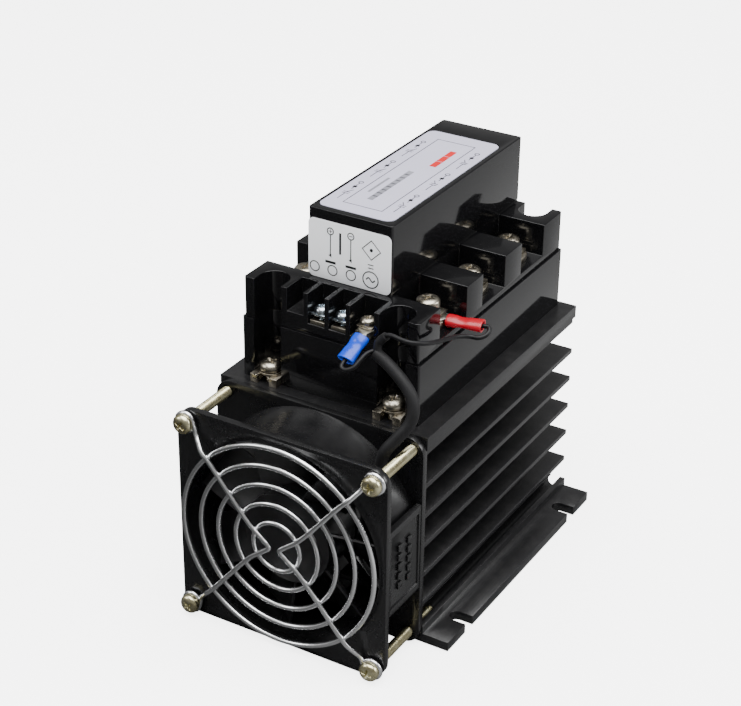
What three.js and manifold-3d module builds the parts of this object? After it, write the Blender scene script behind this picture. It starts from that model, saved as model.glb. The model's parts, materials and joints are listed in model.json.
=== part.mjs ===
// Three-phase solid state power regulator: a black module with screw terminals, bolted to a finned
// aluminium heatsink that an axial fan with a wire finger guard cools.
// Millimetres. X is the width, Y runs from the fan to the rear, Z is up.
// Pieces are drawn from the middle of the heatsink's front face, at floor level. The whole group is
// then moved so that the origin is the middle of the heatsink's underside.
import * as THREE from "three";
import { mergeVertices } from "three/addons/utils/BufferGeometryUtils.js";
import Module from "manifold-3d";

const wasm = await Module();
wasm.setup();

// ---------------------------------------------------------------- driving dimensions
// Fits
const GAP = 0.3; // between turned or cut neighbours
const SEAT = 0.25; // between stacked plates
const RUN = 0.08; // radial running clearance of the shaft
const PAST = 1; // how far a cutting tool reaches past the face it opens
const BITE = 0.5; // how far a joined piece reaches into its neighbour
const SLIVER = 0.01; // the shortest edge that a join may leave

// Heatsink
const SINK_L = 110;
const SINK_H = 80;
const PLATE_W = 80;
const PLATE_T = 4.5;
const FIN_W = 79;
const FIN_T = 1.75;
const FIN_COUNT = 5;
const FIN_PITCH = 11.5;
const FIN_LOWEST = 14.5;
const CORE_W = 14;
const BASE_W = 100;
const BASE_T = 3.5;
const PLINTH_W = 69;
const RAIL_W = 2;
const RAIL_X = 39.25;
const RAIL_H = 3;
const SLOT_W = 5.25;
const SLOT_DEPTH = 7.5;
const SLOT_PITCH = 80;
const CHANNEL_BOSS_W = 6.5;
const CHANNEL_BOSS_H = 2.75;
const CHANNEL_MOUTH = 2.75;

// Fan
const FAN_SIZE = 80;
const FAN_DEPTH = 25;
const FAN_HOLE_PITCH = 71.5;
const FLANGE_T = 2.5;
const FLANGE_CORNER_R = 6;
const BORE_R = 37.5;
const SHROUD_T = 1.75;
const PANEL_H = 32.5;
const PANEL_T = 2;
const PANEL_RIM = 2.5;
const PANEL_RECESS = 0.5;
const HUB_R = 16.5;
const HUB_T = 1.75;
const HUB_FRONT = -21.5;
const HUB_REAR = -5;
const BLADE_COUNT = 7;
const BLADE_CHORD = 18;
const BLADE_T = 1.4;
const BLADE_CAMBER = 2.6;
const BLADE_ROOT_ANGLE = 43;
const BLADE_TIP_ANGLE = 30;
const TIP_GAP = 0.9;
const MOTOR_BASE_T = 2.5;
const MOTOR_BASE_REAR = -0.5;
const STRUT_COUNT = 4;
const STRUT_W = 4;
const SHAFT_R = 1.5;
const BEARING_R = 3.4;
const BEARING_L = 4.25;
const TUBE_T = 1;
const TUBE_FRONT = -18;
const STATOR_R = 12.5;
const STATOR_Y = [-15, -6];
const MAGNET_T = 1.2;
const CLIP_T = 0.5;

// Finger guard
const WIRE_R = 0.9;
const RING_COUNT = 5;
const RING_FIRST_R = 9;
const RING_PITCH = 7;
const EYE_R = 3.25;
const FAN_HEAD_R = 3.5;
const WELD = 0.3;
const APEX_X = 2.1;
const APEX_R = 3;

// Module
const MODULE_L = 103.75;
const MODULE_Y0 = 4.5;
const LOWER_W = 67.4;
const UPPER_W = 66;
const STEP_Y = 0.5;
const CORNER_R = 1;
const SEAM_Z = 102;
const SEAM_GAP = 0.15;
const WALL_TOP_Z = 116.5;
const END_WALL = 14.5;
const SIDE_WALL = 5;
const POCKET_FLOOR_Z = 104.75;
const POCKET_Y = [
  [19, 37],
  [48.25, 64.25],
  [76.5, 93.5],
];
const CHANNEL_X = 23.75;
const CHANNEL_R = 5.3;
const CHANNEL_DEPTH = 10;
const PLINTH_X = 15.25;
const PLINTH_T = 2;
const PLINTH_TOP_Z = 117.25;
const COVER_W = 31.5;
const COVER_Y0 = 17.5;
const COVER_Z0 = 117.5;
const COVER_TOP_Z = 141;
const COVER_T = 2;
const COVER_CORNER_R = 1;

// Base plate of the module and its screws
const BED_T = 3;
const BED_W = 58;
const BED_Y0 = 17;
const FORK_W = 10.25;
const FORK_SLOT = 4.5;
const FORK_OVERHANG = 3;
const MOUNT_INSET = 1.9;
const MOUNT_SCREW_R = 2;

// Power terminals
const BAR_W = 11;
const BAR_T = 2.25;
const BAR_INNER_X = 10.5;
const BAR_OUTER_X = 29.75;
const LEG_T = 2;
const LEG_W = 8;
const POWER_SCREW_X = 23.5;
const POWER_SCREW_R = 2.5;
const POWER_HEAD_R = 4.7;
const POWER_HEAD_H = 4.5;
const POWER_WASHER_T = 1.9;
const POWER_WASHER_W = 9.6;
const TONGUE_T = 0.75;

// Control terminals: the divider left edges, and the free height above the floor
const DIVIDER_T = 1.6;
const DIVIDER_X = [-17.9, -9.9, -1.9, 6.1, 16.6];
const CONTROL_FLOOR_Z = 105.75;
const CONTROL_BLANK_Z = 108.25;
const CONTROL_POCKET_L = 9.5;
const CONTROL_TERMINAL_T = 2.25;
const CONTROL_OPEN_T = 1.25; // the plate under an unused screw
const CONTROL_BACKED_OUT = 1.4; // how far an unused screw stands above its plate
const CONTROL_TERMINAL_W = 5.5;
const CONTROL_SCREW_R = 1.5;
const CONTROL_HEAD_R = 2.9;
const CONTROL_HEAD_H = 2.3;
const CONTROL_WASHER_W = 5.8;
const CONTROL_WASHER_T = 0.75;

// Inside the module
const SUBSTRATE_T = 1;
const CHIP_T = 4.5;
const BOARD_T = 1.6;
const BOARD_Z = 114.5;

// Labels
const LABEL_T = 0.4;
const TOP_LABEL = { x0: -14.5, x1: 13.5, y0: 20.5, y1: 96.5, r: 3 };
const FRONT_LABEL = { half: 15.5, z0: 116.75, z1: 137.5, r: 2 };

// Fan lead
const JACKET_R = 2.1;
const STUB_R = 1.3;
const CORE_R = 0.8;

// ---------------------------------------------------------------- materials
const finish = (color, roughness, metalness) => {
  return new THREE.MeshStandardMaterial({ color, roughness, metalness });
};
const ANODISED = finish(0x17171a, 0.42, 0.75);
const CASE_BLACK = finish(0x0d0d10, 0.25, 0);
const FAN_BLACK = finish(0x141416, 0.45, 0);
const ROTOR_BLACK = finish(0x1b1b1d, 0.5, 0);
const CHROME = finish(0xd9dbde, 0.12, 1);
const YELLOW_ZINC = finish(0xc9bc86, 0.3, 1);
const NICKEL = finish(0xc4bda8, 0.28, 1);
const BLUE_ZINC = finish(0xbfc6cc, 0.25, 1);
const TINNED = finish(0xb9b9b4, 0.35, 1);
const STEEL = finish(0x8e9094, 0.3, 1);
const BRONZE = finish(0x8a6a3c, 0.4, 1);
const MAGNET = finish(0x33312f, 0.7, 0.2);
const LAMINATION = finish(0x55575a, 0.5, 0.8);
const CERAMIC = finish(0xe8e6df, 0.6, 0);
const BOARD_GREEN = finish(0x1d5b34, 0.5, 0);
const EPOXY = finish(0x1e1f22, 0.5, 0);
const WINDING = finish(0x7d4a24, 0.4, 0.4);
const CAN = finish(0x27364f, 0.4, 0.1);
const LABEL_SILVER = finish(0xc9c8d6, 0.4, 0.2);
const LABEL_WHITE = finish(0xe9eaf0, 0.45, 0.1);
const JACKET_BLACK = finish(0x1d1d1f, 0.55, 0);
const CORE_BLACK = finish(0x222226, 0.5, 0);
const RED_VINYL = finish(0xc81824, 0.35, 0);
const BLUE_VINYL = finish(0x1a72e0, 0.35, 0);

// ---------------------------------------------------------------- solid helpers
// A closed geometry as a solid that can be joined and cut.
function solid(geometry) {
  const bare = new THREE.BufferGeometry();
  bare.setAttribute("position", geometry.getAttribute("position"));
  if (geometry.index) bare.setIndex(geometry.index);
  const merged = mergeVertices(bare, 1e-4);
  return new wasm.Manifold(
    new wasm.Mesh({
      numProp: 3,
      vertProperties: merged.attributes.position.array,
      triVerts: new Uint32Array(merged.index.array),
    }),
  );
}

// A solid back as a geometry with flat normals, without the slivers that joins leave.
function geometryOf(manifold) {
  const mesh = manifold.simplify(SLIVER).getMesh();
  const geometry = new THREE.BufferGeometry();
  geometry.setAttribute("position", new THREE.BufferAttribute(mesh.vertProperties, 3));
  geometry.setIndex(new THREE.BufferAttribute(mesh.triVerts, 1));
  const flat = geometry.toNonIndexed();
  flat.computeVertexNormals();
  return flat;
}

const join = (pieces) => pieces.reduce((whole, piece) => whole.add(piece));
const cut = (body, tools) => tools.reduce((left, tool) => left.subtract(tool), body);

// A box from its lowest to its highest corner.
function block(x0, x1, y0, y1, z0, z1) {
  const geometry = new THREE.BoxGeometry(x1 - x0, y1 - y0, z1 - z0);
  geometry.translate((x0 + x1) / 2, (y0 + y1) / 2, (z0 + z1) / 2);
  return solid(geometry);
}

// A closed profile of [radius, height] pairs turned about Z.
function turned(profile, sides) {
  const points = profile.map(([r, z]) => new THREE.Vector2(r, z));
  const geometry = new THREE.LatheGeometry(points, sides);
  geometry.rotateX(Math.PI / 2);
  return geometry;
}

// A disc or rod on the Y axis through (x, z).
function rodY(x, z, r, y0, y1, sides = 24) {
  const geometry = new THREE.CylinderGeometry(r, r, y1 - y0, sides);
  geometry.translate(x, (y0 + y1) / 2, z);
  return solid(geometry);
}

// A disc or rod on the vertical axis through (x, y).
function rodZ(x, y, r, z0, z1, sides = 20) {
  const geometry = new THREE.CylinderGeometry(r, r, z1 - z0, sides);
  geometry.rotateX(Math.PI / 2);
  geometry.translate(x, y, (z0 + z1) / 2);
  return solid(geometry);
}

// A ring about the Y axis through (0, z).
function ringY(z, inner, outer, y0, y1, sides = 24) {
  return rodY(0, z, outer, y0, y1, sides).subtract(rodY(0, z, inner, y0 - PAST, y1 + PAST, sides));
}

// A rectangle with round corners, as a shape.
function roundedShape(x0, x1, y0, y1, r) {
  const shape = new THREE.Shape();
  shape.moveTo(x0 + r, y0);
  shape.lineTo(x1 - r, y0);
  shape.absarc(x1 - r, y0 + r, r, -Math.PI / 2, 0);
  shape.lineTo(x1, y1 - r);
  shape.absarc(x1 - r, y1 - r, r, 0, Math.PI / 2);
  shape.lineTo(x0 + r, y1);
  shape.absarc(x0 + r, y1 - r, r, Math.PI / 2, Math.PI);
  shape.lineTo(x0, y0 + r);
  shape.absarc(x0 + r, y0 + r, r, Math.PI, Math.PI * 1.5);
  return shape;
}

// A shape in X and Y, raised from z0 to z1.
function raised(shape, z0, z1, curveSegments = 4) {
  const depth = z1 - z0;
  const geometry = new THREE.ExtrudeGeometry(shape, { depth, bevelEnabled: false, curveSegments });
  geometry.translate(0, 0, z0);
  return solid(geometry);
}

// A shape in X and Z, from y0 to y1.
function standing(shape, y0, y1, curveSegments = 4) {
  const depth = y1 - y0;
  const geometry = new THREE.ExtrudeGeometry(shape, { depth, bevelEnabled: false, curveSegments });
  geometry.rotateX(Math.PI / 2);
  geometry.translate(0, y1, 0);
  return solid(geometry);
}

// A round wire through points, each [x, y, z].
function wire(points, r, sides, steps, closed = false) {
  const path = new THREE.CatmullRomCurve3(
    points.map((p) => new THREE.Vector3(...p)),
    closed,
    "centripetal",
  );
  const section = new THREE.Shape();
  section.absarc(0, 0, r, 0, Math.PI * 2);
  const curveSegments = sides / 2;
  const settings = { steps, extrudePath: path, bevelEnabled: false, curveSegments };
  return new THREE.ExtrudeGeometry(section, settings);
}

const object = new THREE.Group();

// Adds a named mesh to a group.
function add(parent, name, geometry, material) {
  const mesh = new THREE.Mesh(geometry, material);
  mesh.name = name;
  parent.add(mesh);
  return mesh;
}

// ---------------------------------------------------------------- screws
// A pan head screw with a cross recess. The head's underside is at Z 0 and the shank points down.
function panScrew({ headR, headH, shankR, shankL, washer = null }) {
  const crown = [
    [0, -shankL],
    [shankR * 0.7, -shankL],
    [shankR, -shankL + shankR * 0.3],
    [shankR, 0],
    [headR, 0],
    [headR, headH * 0.45],
    [headR * 0.8, headH * 0.85],
    [headR * 0.4, headH],
    [0, headH],
  ];
  const body = solid(turned(crown, 14));
  const reach = headR * 0.5;
  const half = headR * 0.11;
  const floor = headH * 0.45;
  const recess = [
    block(-reach, reach, -half, half, floor, headH + PAST),
    block(-half, half, -reach, reach, floor, headH + PAST),
  ];
  const screw = cut(body, recess);
  return washer ? screw.add(washer) : screw;
}

// ---------------------------------------------------------------- heatsink
const sinkHalf = { plate: PLATE_W / 2, fin: FIN_W / 2, core: CORE_W / 2, base: BASE_W / 2 };
const fanCentreZ = FAN_SIZE / 2;
const fanHole = FAN_HOLE_PITCH / 2;
const screwChannelR = 2 + GAP;
const mountY = [
  MODULE_Y0 + MOUNT_INSET,
  MODULE_Y0 + MODULE_L - MOUNT_INSET,
];
const plateUnder = SINK_H - PLATE_T;
const moduleMidY = MODULE_Y0 + MODULE_L / 2;

function makeHeatsink() {
  const { plate, fin, core, base } = sinkHalf;
  const pieces = [
    block(-plate, plate, 0, SINK_L, plateUnder, SINK_H),
    block(-base, base, 0, SINK_L, 0, BASE_T),
    block(-PLINTH_W / 2, PLINTH_W / 2, 0, SINK_L, BASE_T - BITE, BASE_T + RAIL_H),
    block(-core, core, 0, SINK_L, BASE_T - BITE, plateUnder + BITE),
  ];
  for (let i = 0; i < FIN_COUNT; i++) {
    const z = FIN_LOWEST + i * FIN_PITCH;
    pieces.push(block(-fin, fin, 0, SINK_L, z, z + FIN_T));
  }
  for (const side of [-1, 1]) {
    const railIn = side * (RAIL_X - RAIL_W / 2);
    const railOut = side * (RAIL_X + RAIL_W / 2);
    const [r0, r1] = [Math.min(railIn, railOut), Math.max(railIn, railOut)];
    pieces.push(block(r0, r1, 0, SINK_L, BASE_T - BITE, BASE_T + RAIL_H));
    const x = side * fanHole;
    const half = CHANNEL_BOSS_W / 2;
    pieces.push(block(x - half, x + half, 0, SINK_L, plateUnder - CHANNEL_BOSS_H, plateUnder + BITE));
  }
  const tools = [];
  const midY = SINK_L / 2;
  for (const side of [-1, 1]) {
    const x = side * fanHole;
    const mouth = CHANNEL_MOUTH / 2;
    const [low, high] = [fanCentreZ - fanHole, fanCentreZ + fanHole];
    tools.push(rodY(x, low, screwChannelR, -PAST, SINK_L + PAST, 16));
    tools.push(rodY(x, high, screwChannelR, -PAST, SINK_L + PAST, 16));
    tools.push(
      block(x - mouth, x + mouth, -PAST, SINK_L + PAST, plateUnder - CHANNEL_BOSS_H - PAST, high),
    );
    for (const y of [midY - SLOT_PITCH / 2, midY + SLOT_PITCH / 2]) {
      const inner = side * (base - SLOT_DEPTH + SLOT_W / 2);
      const outer = side * (base + PAST);
      const [s0, s1] = [Math.min(inner, outer), Math.max(inner, outer)];
      tools.push(block(s0, s1, y - SLOT_W / 2, y + SLOT_W / 2, -PAST, BASE_T + PAST));
      tools.push(rodZ(inner, y, SLOT_W / 2, -PAST, BASE_T + PAST, 16));
    }
    for (const y of mountY) {
      tools.push(rodZ(side * CHANNEL_X, y, MOUNT_SCREW_R + GAP, plateUnder - PAST, SINK_H + PAST, 16));
    }
  }
  return cut(join(pieces), tools);
}

// ---------------------------------------------------------------- fan
const motorBaseFront = MOTOR_BASE_REAR - MOTOR_BASE_T;
const tubeR = BEARING_R + RUN + TUBE_T;

function makeFanFrame() {
  const half = FAN_SIZE / 2;
  const z = fanCentreZ;
  const outline = () => roundedShape(-half, half, z - half, z + half, FLANGE_CORNER_R);
  const shroudR = BORE_R + SHROUD_T;
  const pieces = [
    standing(outline(), -FAN_DEPTH, -FAN_DEPTH + FLANGE_T),
    standing(outline(), -FLANGE_T, 0),
    rodY(0, z, shroudR, -FAN_DEPTH + BITE, -BITE, 56),
  ];
  for (const side of [-1, 1]) {
    const face = side * (half - BITE / 2);
    const back = side * (half - BITE / 2 - PANEL_T);
    const [p0, p1] = [Math.min(face, back), Math.max(face, back)];
    pieces.push(block(p0, p1, -FAN_DEPTH + BITE, -BITE, z - PANEL_H / 2, z + PANEL_H / 2));
  }
  const tools = [rodY(0, z, BORE_R, -FAN_DEPTH - PAST, PAST, 56)];
  for (const side of [-1, 1]) {
    const out = side * (half + PAST);
    const deep = side * (half - BITE / 2 - PANEL_RECESS);
    const [q0, q1] = [Math.min(out, deep), Math.max(out, deep)];
    const [f, r] = [-FAN_DEPTH + FLANGE_T + PANEL_RIM / 2, -FLANGE_T - PANEL_RIM / 2];
    tools.push(block(q0, q1, f, r, z - PANEL_H / 2 + PANEL_RIM, z + PANEL_H / 2 - PANEL_RIM));
    for (const up of [-1, 1]) {
      tools.push(rodY(side * fanHole, z + up * fanHole, screwChannelR, -FAN_DEPTH - PAST, PAST, 16));
    }
  }
  const shell = cut(join(pieces), tools);
  const motor = [
    rodY(0, z, HUB_R, motorBaseFront, MOTOR_BASE_REAR, 32),
    rodY(0, z, tubeR, TUBE_FRONT, motorBaseFront + BITE, 24),
  ];
  for (let i = 0; i < STRUT_COUNT; i++) {
    const angle = ((i + 0.5) / STRUT_COUNT) * Math.PI * 2;
    const strut = new THREE.BoxGeometry(BORE_R - HUB_R + 2 * BITE + 1, MOTOR_BASE_T, STRUT_W);
    strut.translate((BORE_R + HUB_R) / 2, (motorBaseFront + MOTOR_BASE_REAR) / 2, 0);
    strut.rotateY(-angle);
    strut.translate(0, 0, z);
    motor.push(solid(strut));
  }
  const bore = rodY(0, z, BEARING_R + RUN, TUBE_FRONT - PAST, PAST, 24);
  return join([shell, ...motor]).subtract(bore);
}

// One blade: a cambered section drawn out from the hub and twisted towards its tip.
function makeBlade() {
  const half = BLADE_CHORD / 2;
  const r0 = HUB_R - HUB_T + 0.15;
  const r1 = Math.sqrt((BORE_R - TIP_GAP) ** 2 - half ** 2);
  const shape = new THREE.Shape();
  shape.moveTo(-half, 0);
  shape.quadraticCurveTo(0, BLADE_CAMBER + BLADE_T, half, 0);
  shape.lineTo(half - 0.2, -BLADE_T * 0.6);
  shape.quadraticCurveTo(0, BLADE_CAMBER - BLADE_T, -half, -BLADE_T * 0.6);
  const settings = { depth: r1 - r0, steps: 3, bevelEnabled: false, curveSegments: 4 };
  const geometry = new THREE.ExtrudeGeometry(shape, settings);
  const position = geometry.getAttribute("position");
  for (let i = 0; i < position.count; i++) {
    const share = position.getZ(i) / (r1 - r0);
    const degrees = THREE.MathUtils.lerp(BLADE_ROOT_ANGLE, BLADE_TIP_ANGLE, share);
    const angle = THREE.MathUtils.degToRad(degrees);
    const [u, v] = [position.getX(i), position.getY(i)];
    const along = u * Math.cos(angle) - v * Math.sin(angle);
    const axial = u * Math.sin(angle) + v * Math.cos(angle);
    position.setXYZ(i, r0 + position.getZ(i), axial, -along);
  }
  geometry.translate(0, (HUB_FRONT + HUB_REAR) / 2 - 0.5, 0);
  return geometry;
}

function makeRotor() {
  const z = fanCentreZ;
  const cup = rodY(0, z, HUB_R, HUB_FRONT, HUB_REAR, 36);
  const inside = rodY(0, z, HUB_R - HUB_T, HUB_FRONT + HUB_T, HUB_REAR + PAST, 36);
  const boss = rodY(0, z, SHAFT_R + RUN + 2, HUB_FRONT + HUB_T - BITE, TUBE_FRONT - GAP, 24);
  const shaftHole = rodY(0, z, SHAFT_R + RUN, HUB_FRONT + 1, TUBE_FRONT, 24);
  const blades = [];
  for (let i = 0; i < BLADE_COUNT; i++) {
    const blade = makeBlade();
    blade.rotateY((i / BLADE_COUNT) * Math.PI * 2);
    blade.translate(0, 0, z);
    blades.push(solid(blade));
  }
  const bladed = join([cup, ...blades]).subtract(inside);
  return bladed.add(boss).subtract(shaftHole);
}

function addFan() {
  const fan = new THREE.Group();
  const z = fanCentreZ;
  add(fan, "fan_frame", geometryOf(makeFanFrame()), FAN_BLACK);
  add(fan, "fan_rotor", geometryOf(makeRotor()), ROTOR_BLACK);
  const shaftRear = MOTOR_BASE_REAR - 1;
  add(fan, "rotor_shaft", geometryOf(rodY(0, z, SHAFT_R, HUB_FRONT + 1.1, shaftRear, 24)), STEEL);
  const magnetR = HUB_R - HUB_T - RUN;
  const magnet = ringY(z, magnetR - MAGNET_T, magnetR, STATOR_Y[0] - 1, STATOR_Y[1] + 0.75, 36);
  add(fan, "rotor_magnet", geometryOf(magnet), MAGNET);
  const inner = SHAFT_R + RUN;
  const frontBearing = ringY(z, inner, BEARING_R, TUBE_FRONT + GAP, TUBE_FRONT + GAP + BEARING_L);
  add(fan, "bearing_front", geometryOf(frontBearing), BRONZE);
  const clipFront = shaftRear - 1.2;
  const rearBearing = ringY(z, inner, BEARING_R, clipFront - GAP - BEARING_L, clipFront - GAP);
  add(fan, "bearing_rear", geometryOf(rearBearing), BRONZE);
  add(fan, "shaft_clip", geometryOf(ringY(z, inner, BEARING_R - 0.5, clipFront, clipFront + CLIP_T)), STEEL);
  const poles = [rodY(0, z, tubeR + GAP + 2, ...STATOR_Y, 24)];
  for (let i = 0; i < 4; i++) {
    const pole = new THREE.BoxGeometry(STATOR_R * 2 - 1, STATOR_Y[1] - STATOR_Y[0], 5);
    pole.translate(0, (STATOR_Y[0] + STATOR_Y[1]) / 2, 0);
    pole.rotateY((i / 4) * Math.PI);
    pole.translate(0, 0, z);
    poles.push(solid(pole));
  }
  const stator = join(poles).subtract(rodY(0, z, tubeR + GAP, STATOR_Y[0] - PAST, STATOR_Y[1] + PAST));
  add(fan, "stator_core", geometryOf(stator), LAMINATION);
  object.add(fan);
}

// ---------------------------------------------------------------- finger guard and fan screws
const eyeY = -FAN_DEPTH - WIRE_R - SEAT;
const ringY0 = eyeY - 1.1;
const spokeY = ringY0 - 2 * WIRE_R + WELD;

// One bent spoke: an eye round the upper screw, a V to the centre, and an eye round the lower screw.
function makeSpoke(side) {
  const z = fanCentreZ;
  const eyeTurns = [200, 245, 290, 335, 20, 65, 110];
  const half = [];
  for (const degrees of eyeTurns) {
    const angle = THREE.MathUtils.degToRad(degrees + 15);
    half.push([fanHole + EYE_R * Math.cos(angle), eyeY, fanHole + EYE_R * Math.sin(angle)]);
  }
  const stem = fanHole - EYE_R * 1.05;
  half.push([stem - 0.6, eyeY - 0.1, stem + 0.4]);
  half.push([stem - 2.4, (eyeY + spokeY) / 2, stem - 2]);
  half.push([stem - 4.6, spokeY, stem - 4.6]);
  half.push([stem - 7, spokeY, stem - 7]);
  half.push([APEX_X + APEX_R * 2.4, spokeY, APEX_R * 2.1]);
  half.push([APEX_X + APEX_R * 0.8, spokeY, APEX_R * 0.8]);
  const upper = half.map(([x, y, up]) => [side * x, y, z + up]);
  const lower = half.map(([x, y, up]) => [side * x, y, z - up]).reverse();
  const apex = [[side * APEX_X, spokeY, z]];
  return solid(wire([...upper, ...apex, ...lower], WIRE_R, 6, 64));
}

function makeGuard() {
  const pieces = [makeSpoke(-1), makeSpoke(1)];
  for (let i = 0; i < RING_COUNT; i++) {
    const ring = new THREE.TorusGeometry(RING_FIRST_R + i * RING_PITCH, WIRE_R, 6, 20 + 6 * i);
    ring.rotateX(Math.PI / 2);
    ring.translate(0, ringY0, fanCentreZ);
    pieces.push(solid(ring));
  }
  return join(pieces);
}

function addGuard() {
  add(object, "finger_guard", geometryOf(makeGuard()), CHROME);
  const seatY = eyeY - WIRE_R - SEAT;
  const screw = geometryOf(panScrew({ headR: FAN_HEAD_R, headH: 2.5, shankR: 2, shankL: 40 }));
  screw.rotateX(Math.PI / 2);
  let n = 0;
  for (const up of [1, -1]) {
    for (const side of [-1, 1]) {
      n += 1;
      const mesh = add(object, `fan_screw_${n}`, screw.clone(), YELLOW_ZINC);
      mesh.position.set(side * fanHole, seatY, fanCentreZ + up * fanHole);
    }
  }
}

// ---------------------------------------------------------------- module housings
const moduleY1 = MODULE_Y0 + MODULE_L;
const lowerHalf = LOWER_W / 2;
const upperHalf = UPPER_W / 2;

// The four upright channels that the mounting screws stand in, open at the ends.
function channelTools(z0, z1, r = CHANNEL_R) {
  const tools = [];
  for (const side of [-1, 1]) {
    const x = side * CHANNEL_X;
    const deep = CHANNEL_DEPTH - CHANNEL_R;
    tools.push(rodZ(x, MODULE_Y0 + deep, r, z0, z1, 24));
    tools.push(rodZ(x, moduleY1 - deep, r, z0, z1, 24));
    tools.push(block(x - r, x + r, MODULE_Y0 - PAST, MODULE_Y0 + deep, z0, z1));
    tools.push(block(x - r, x + r, moduleY1 - deep, moduleY1 + PAST, z0, z1));
  }
  return tools;
}

function makeLowerHousing() {
  const top = SEAM_Z - SEAM_GAP;
  const outer = roundedShape(-lowerHalf, lowerHalf, MODULE_Y0, moduleY1, CORNER_R);
  const body = raised(outer, SINK_H, top);
  const cavityX = lowerHalf - SIDE_WALL;
  const [cavityY0, cavityY1] = [MODULE_Y0 + END_WALL, moduleY1 - END_WALL];
  const bedTop = SINK_H + BED_T + SEAT;
  const bedHalf = BED_W / 2 + SEAT;
  const tools = [
    block(-cavityX, cavityX, cavityY0, cavityY1, SINK_H + BITE, top + PAST),
    block(
      -bedHalf,
      bedHalf,
      BED_Y0 - SEAT,
      2 * moduleMidY - BED_Y0 + SEAT,
      SINK_H - PAST,
      bedTop,
    ),
    ...channelTools(SINK_H - PAST, top + PAST),
  ];
  for (const side of [-1, 1]) {
    const x = side * CHANNEL_X;
    const half = FORK_W / 2 + SEAT / 5;
    tools.push(block(x - half, x + half, MODULE_Y0, BED_Y0, SINK_H - PAST, bedTop));
    tools.push(block(x - half, x + half, 2 * moduleMidY - BED_Y0, moduleY1, SINK_H - PAST, bedTop));
  }
  return cut(body, tools);
}

const wellHalf = PLINTH_X - PLINTH_T;
const pocketMidY = POCKET_Y.map(([y0, y1]) => (y0 + y1) / 2);
const controlMidX = DIVIDER_X.slice(0, -1).map((x, i) => (x + DIVIDER_T + DIVIDER_X[i + 1]) / 2);
const controlMidY = MODULE_Y0 + STEP_Y + CONTROL_POCKET_L / 2 - 0.5;

function makeUpperHousing() {
  const [y0, y1] = [MODULE_Y0 + STEP_Y, moduleY1 - STEP_Y];
  const outline = roundedShape(-upperHalf, upperHalf, y0, y1, CORNER_R);
  const floor = SEAM_Z;
  const body = raised(outline, floor, WALL_TOP_Z);
  const plinthY0 = COVER_Y0 + STEP_Y;
  const plinth = block(-PLINTH_X, PLINTH_X, plinthY0, y1, floor + BITE, PLINTH_TOP_Z);
  const tools = [];
  for (const [p0, p1] of POCKET_Y) {
    tools.push(block(PLINTH_X, upperHalf + PAST, p0, p1, POCKET_FLOOR_Z, WALL_TOP_Z + PAST));
    tools.push(block(-upperHalf - PAST, -PLINTH_X, p0, p1, POCKET_FLOOR_Z, WALL_TOP_Z + PAST));
  }
  tools.push(...channelTools(floor - PAST, WALL_TOP_Z + PAST));
  controlMidX.forEach((x, i) => {
    const half = (DIVIDER_X[i + 1] - DIVIDER_X[i] - DIVIDER_T) / 2;
    const low = i === 0 ? CONTROL_BLANK_Z : CONTROL_FLOOR_Z;
    tools.push(
      block(x - half, x + half, y0 - PAST, y0 + CONTROL_POCKET_L, low, WALL_TOP_Z + PAST),
    );
    if (i > 0) {
      const depth = CONTROL_FLOOR_Z - 3;
      tools.push(rodZ(x, controlMidY, CONTROL_SCREW_R + GAP, depth, CONTROL_FLOOR_Z + PAST, 16));
    }
  });
  tools.push(
    block(-wellHalf, wellHalf, plinthY0 + PLINTH_T, y1 - PLINTH_T, floor - PAST, PLINTH_TOP_Z + PAST),
  );
  for (const y of pocketMidY) {
    const half = BAR_W / 2 + SEAT;
    tools.push(
      block(-PLINTH_X - 0.1, PLINTH_X + 0.1, y - half, y + half, POCKET_FLOOR_Z, POCKET_FLOOR_Z + BAR_T + SEAT),
    );
    for (const side of [-1, 1]) {
      const x = side * POWER_SCREW_X;
      tools.push(rodZ(x, y, POWER_SCREW_R + GAP, floor - PAST, POCKET_FLOOR_Z + PAST, 16));
    }
  }
  return cut(join([body, plinth]), tools);
}

function makeCover() {
  const half = COVER_W / 2;
  const y1 = moduleY1 - STEP_Y;
  const shell = raised(roundedShape(-half, half, COVER_Y0, y1, COVER_CORNER_R), COVER_Z0, COVER_TOP_Z, 3);
  const { x0, x1, y0: l0, y1: l1, r } = TOP_LABEL;
  const recess = roundedShape(x0 - SEAT, x1 + SEAT, l0 - SEAT, l1 + SEAT, r + SEAT);
  const tools = [
    block(
      -half + COVER_T,
      half - COVER_T,
      COVER_Y0 + COVER_T,
      y1 - COVER_T,
      COVER_Z0 - PAST,
      COVER_TOP_Z - COVER_T - LABEL_T,
    ),
    raised(recess, COVER_TOP_Z - LABEL_T, COVER_TOP_Z + PAST, 4),
  ];
  return cut(shell, tools);
}

function addLabels() {
  const { x0, x1, y0, y1, r } = TOP_LABEL;
  const top = raised(roundedShape(x0, x1, y0, y1, r), COVER_TOP_Z - LABEL_T + 0.05, COVER_TOP_Z, 4);
  add(object, "top_label", geometryOf(top), LABEL_SILVER);
  const front = FRONT_LABEL;
  const shape = roundedShape(-front.half, front.half, front.z0, front.z1, front.r);
  const face = standing(shape, COVER_Y0 - LABEL_T, COVER_Y0 - 0.05, 4);
  add(object, "front_label", geometryOf(face), LABEL_WHITE);
}

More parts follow.
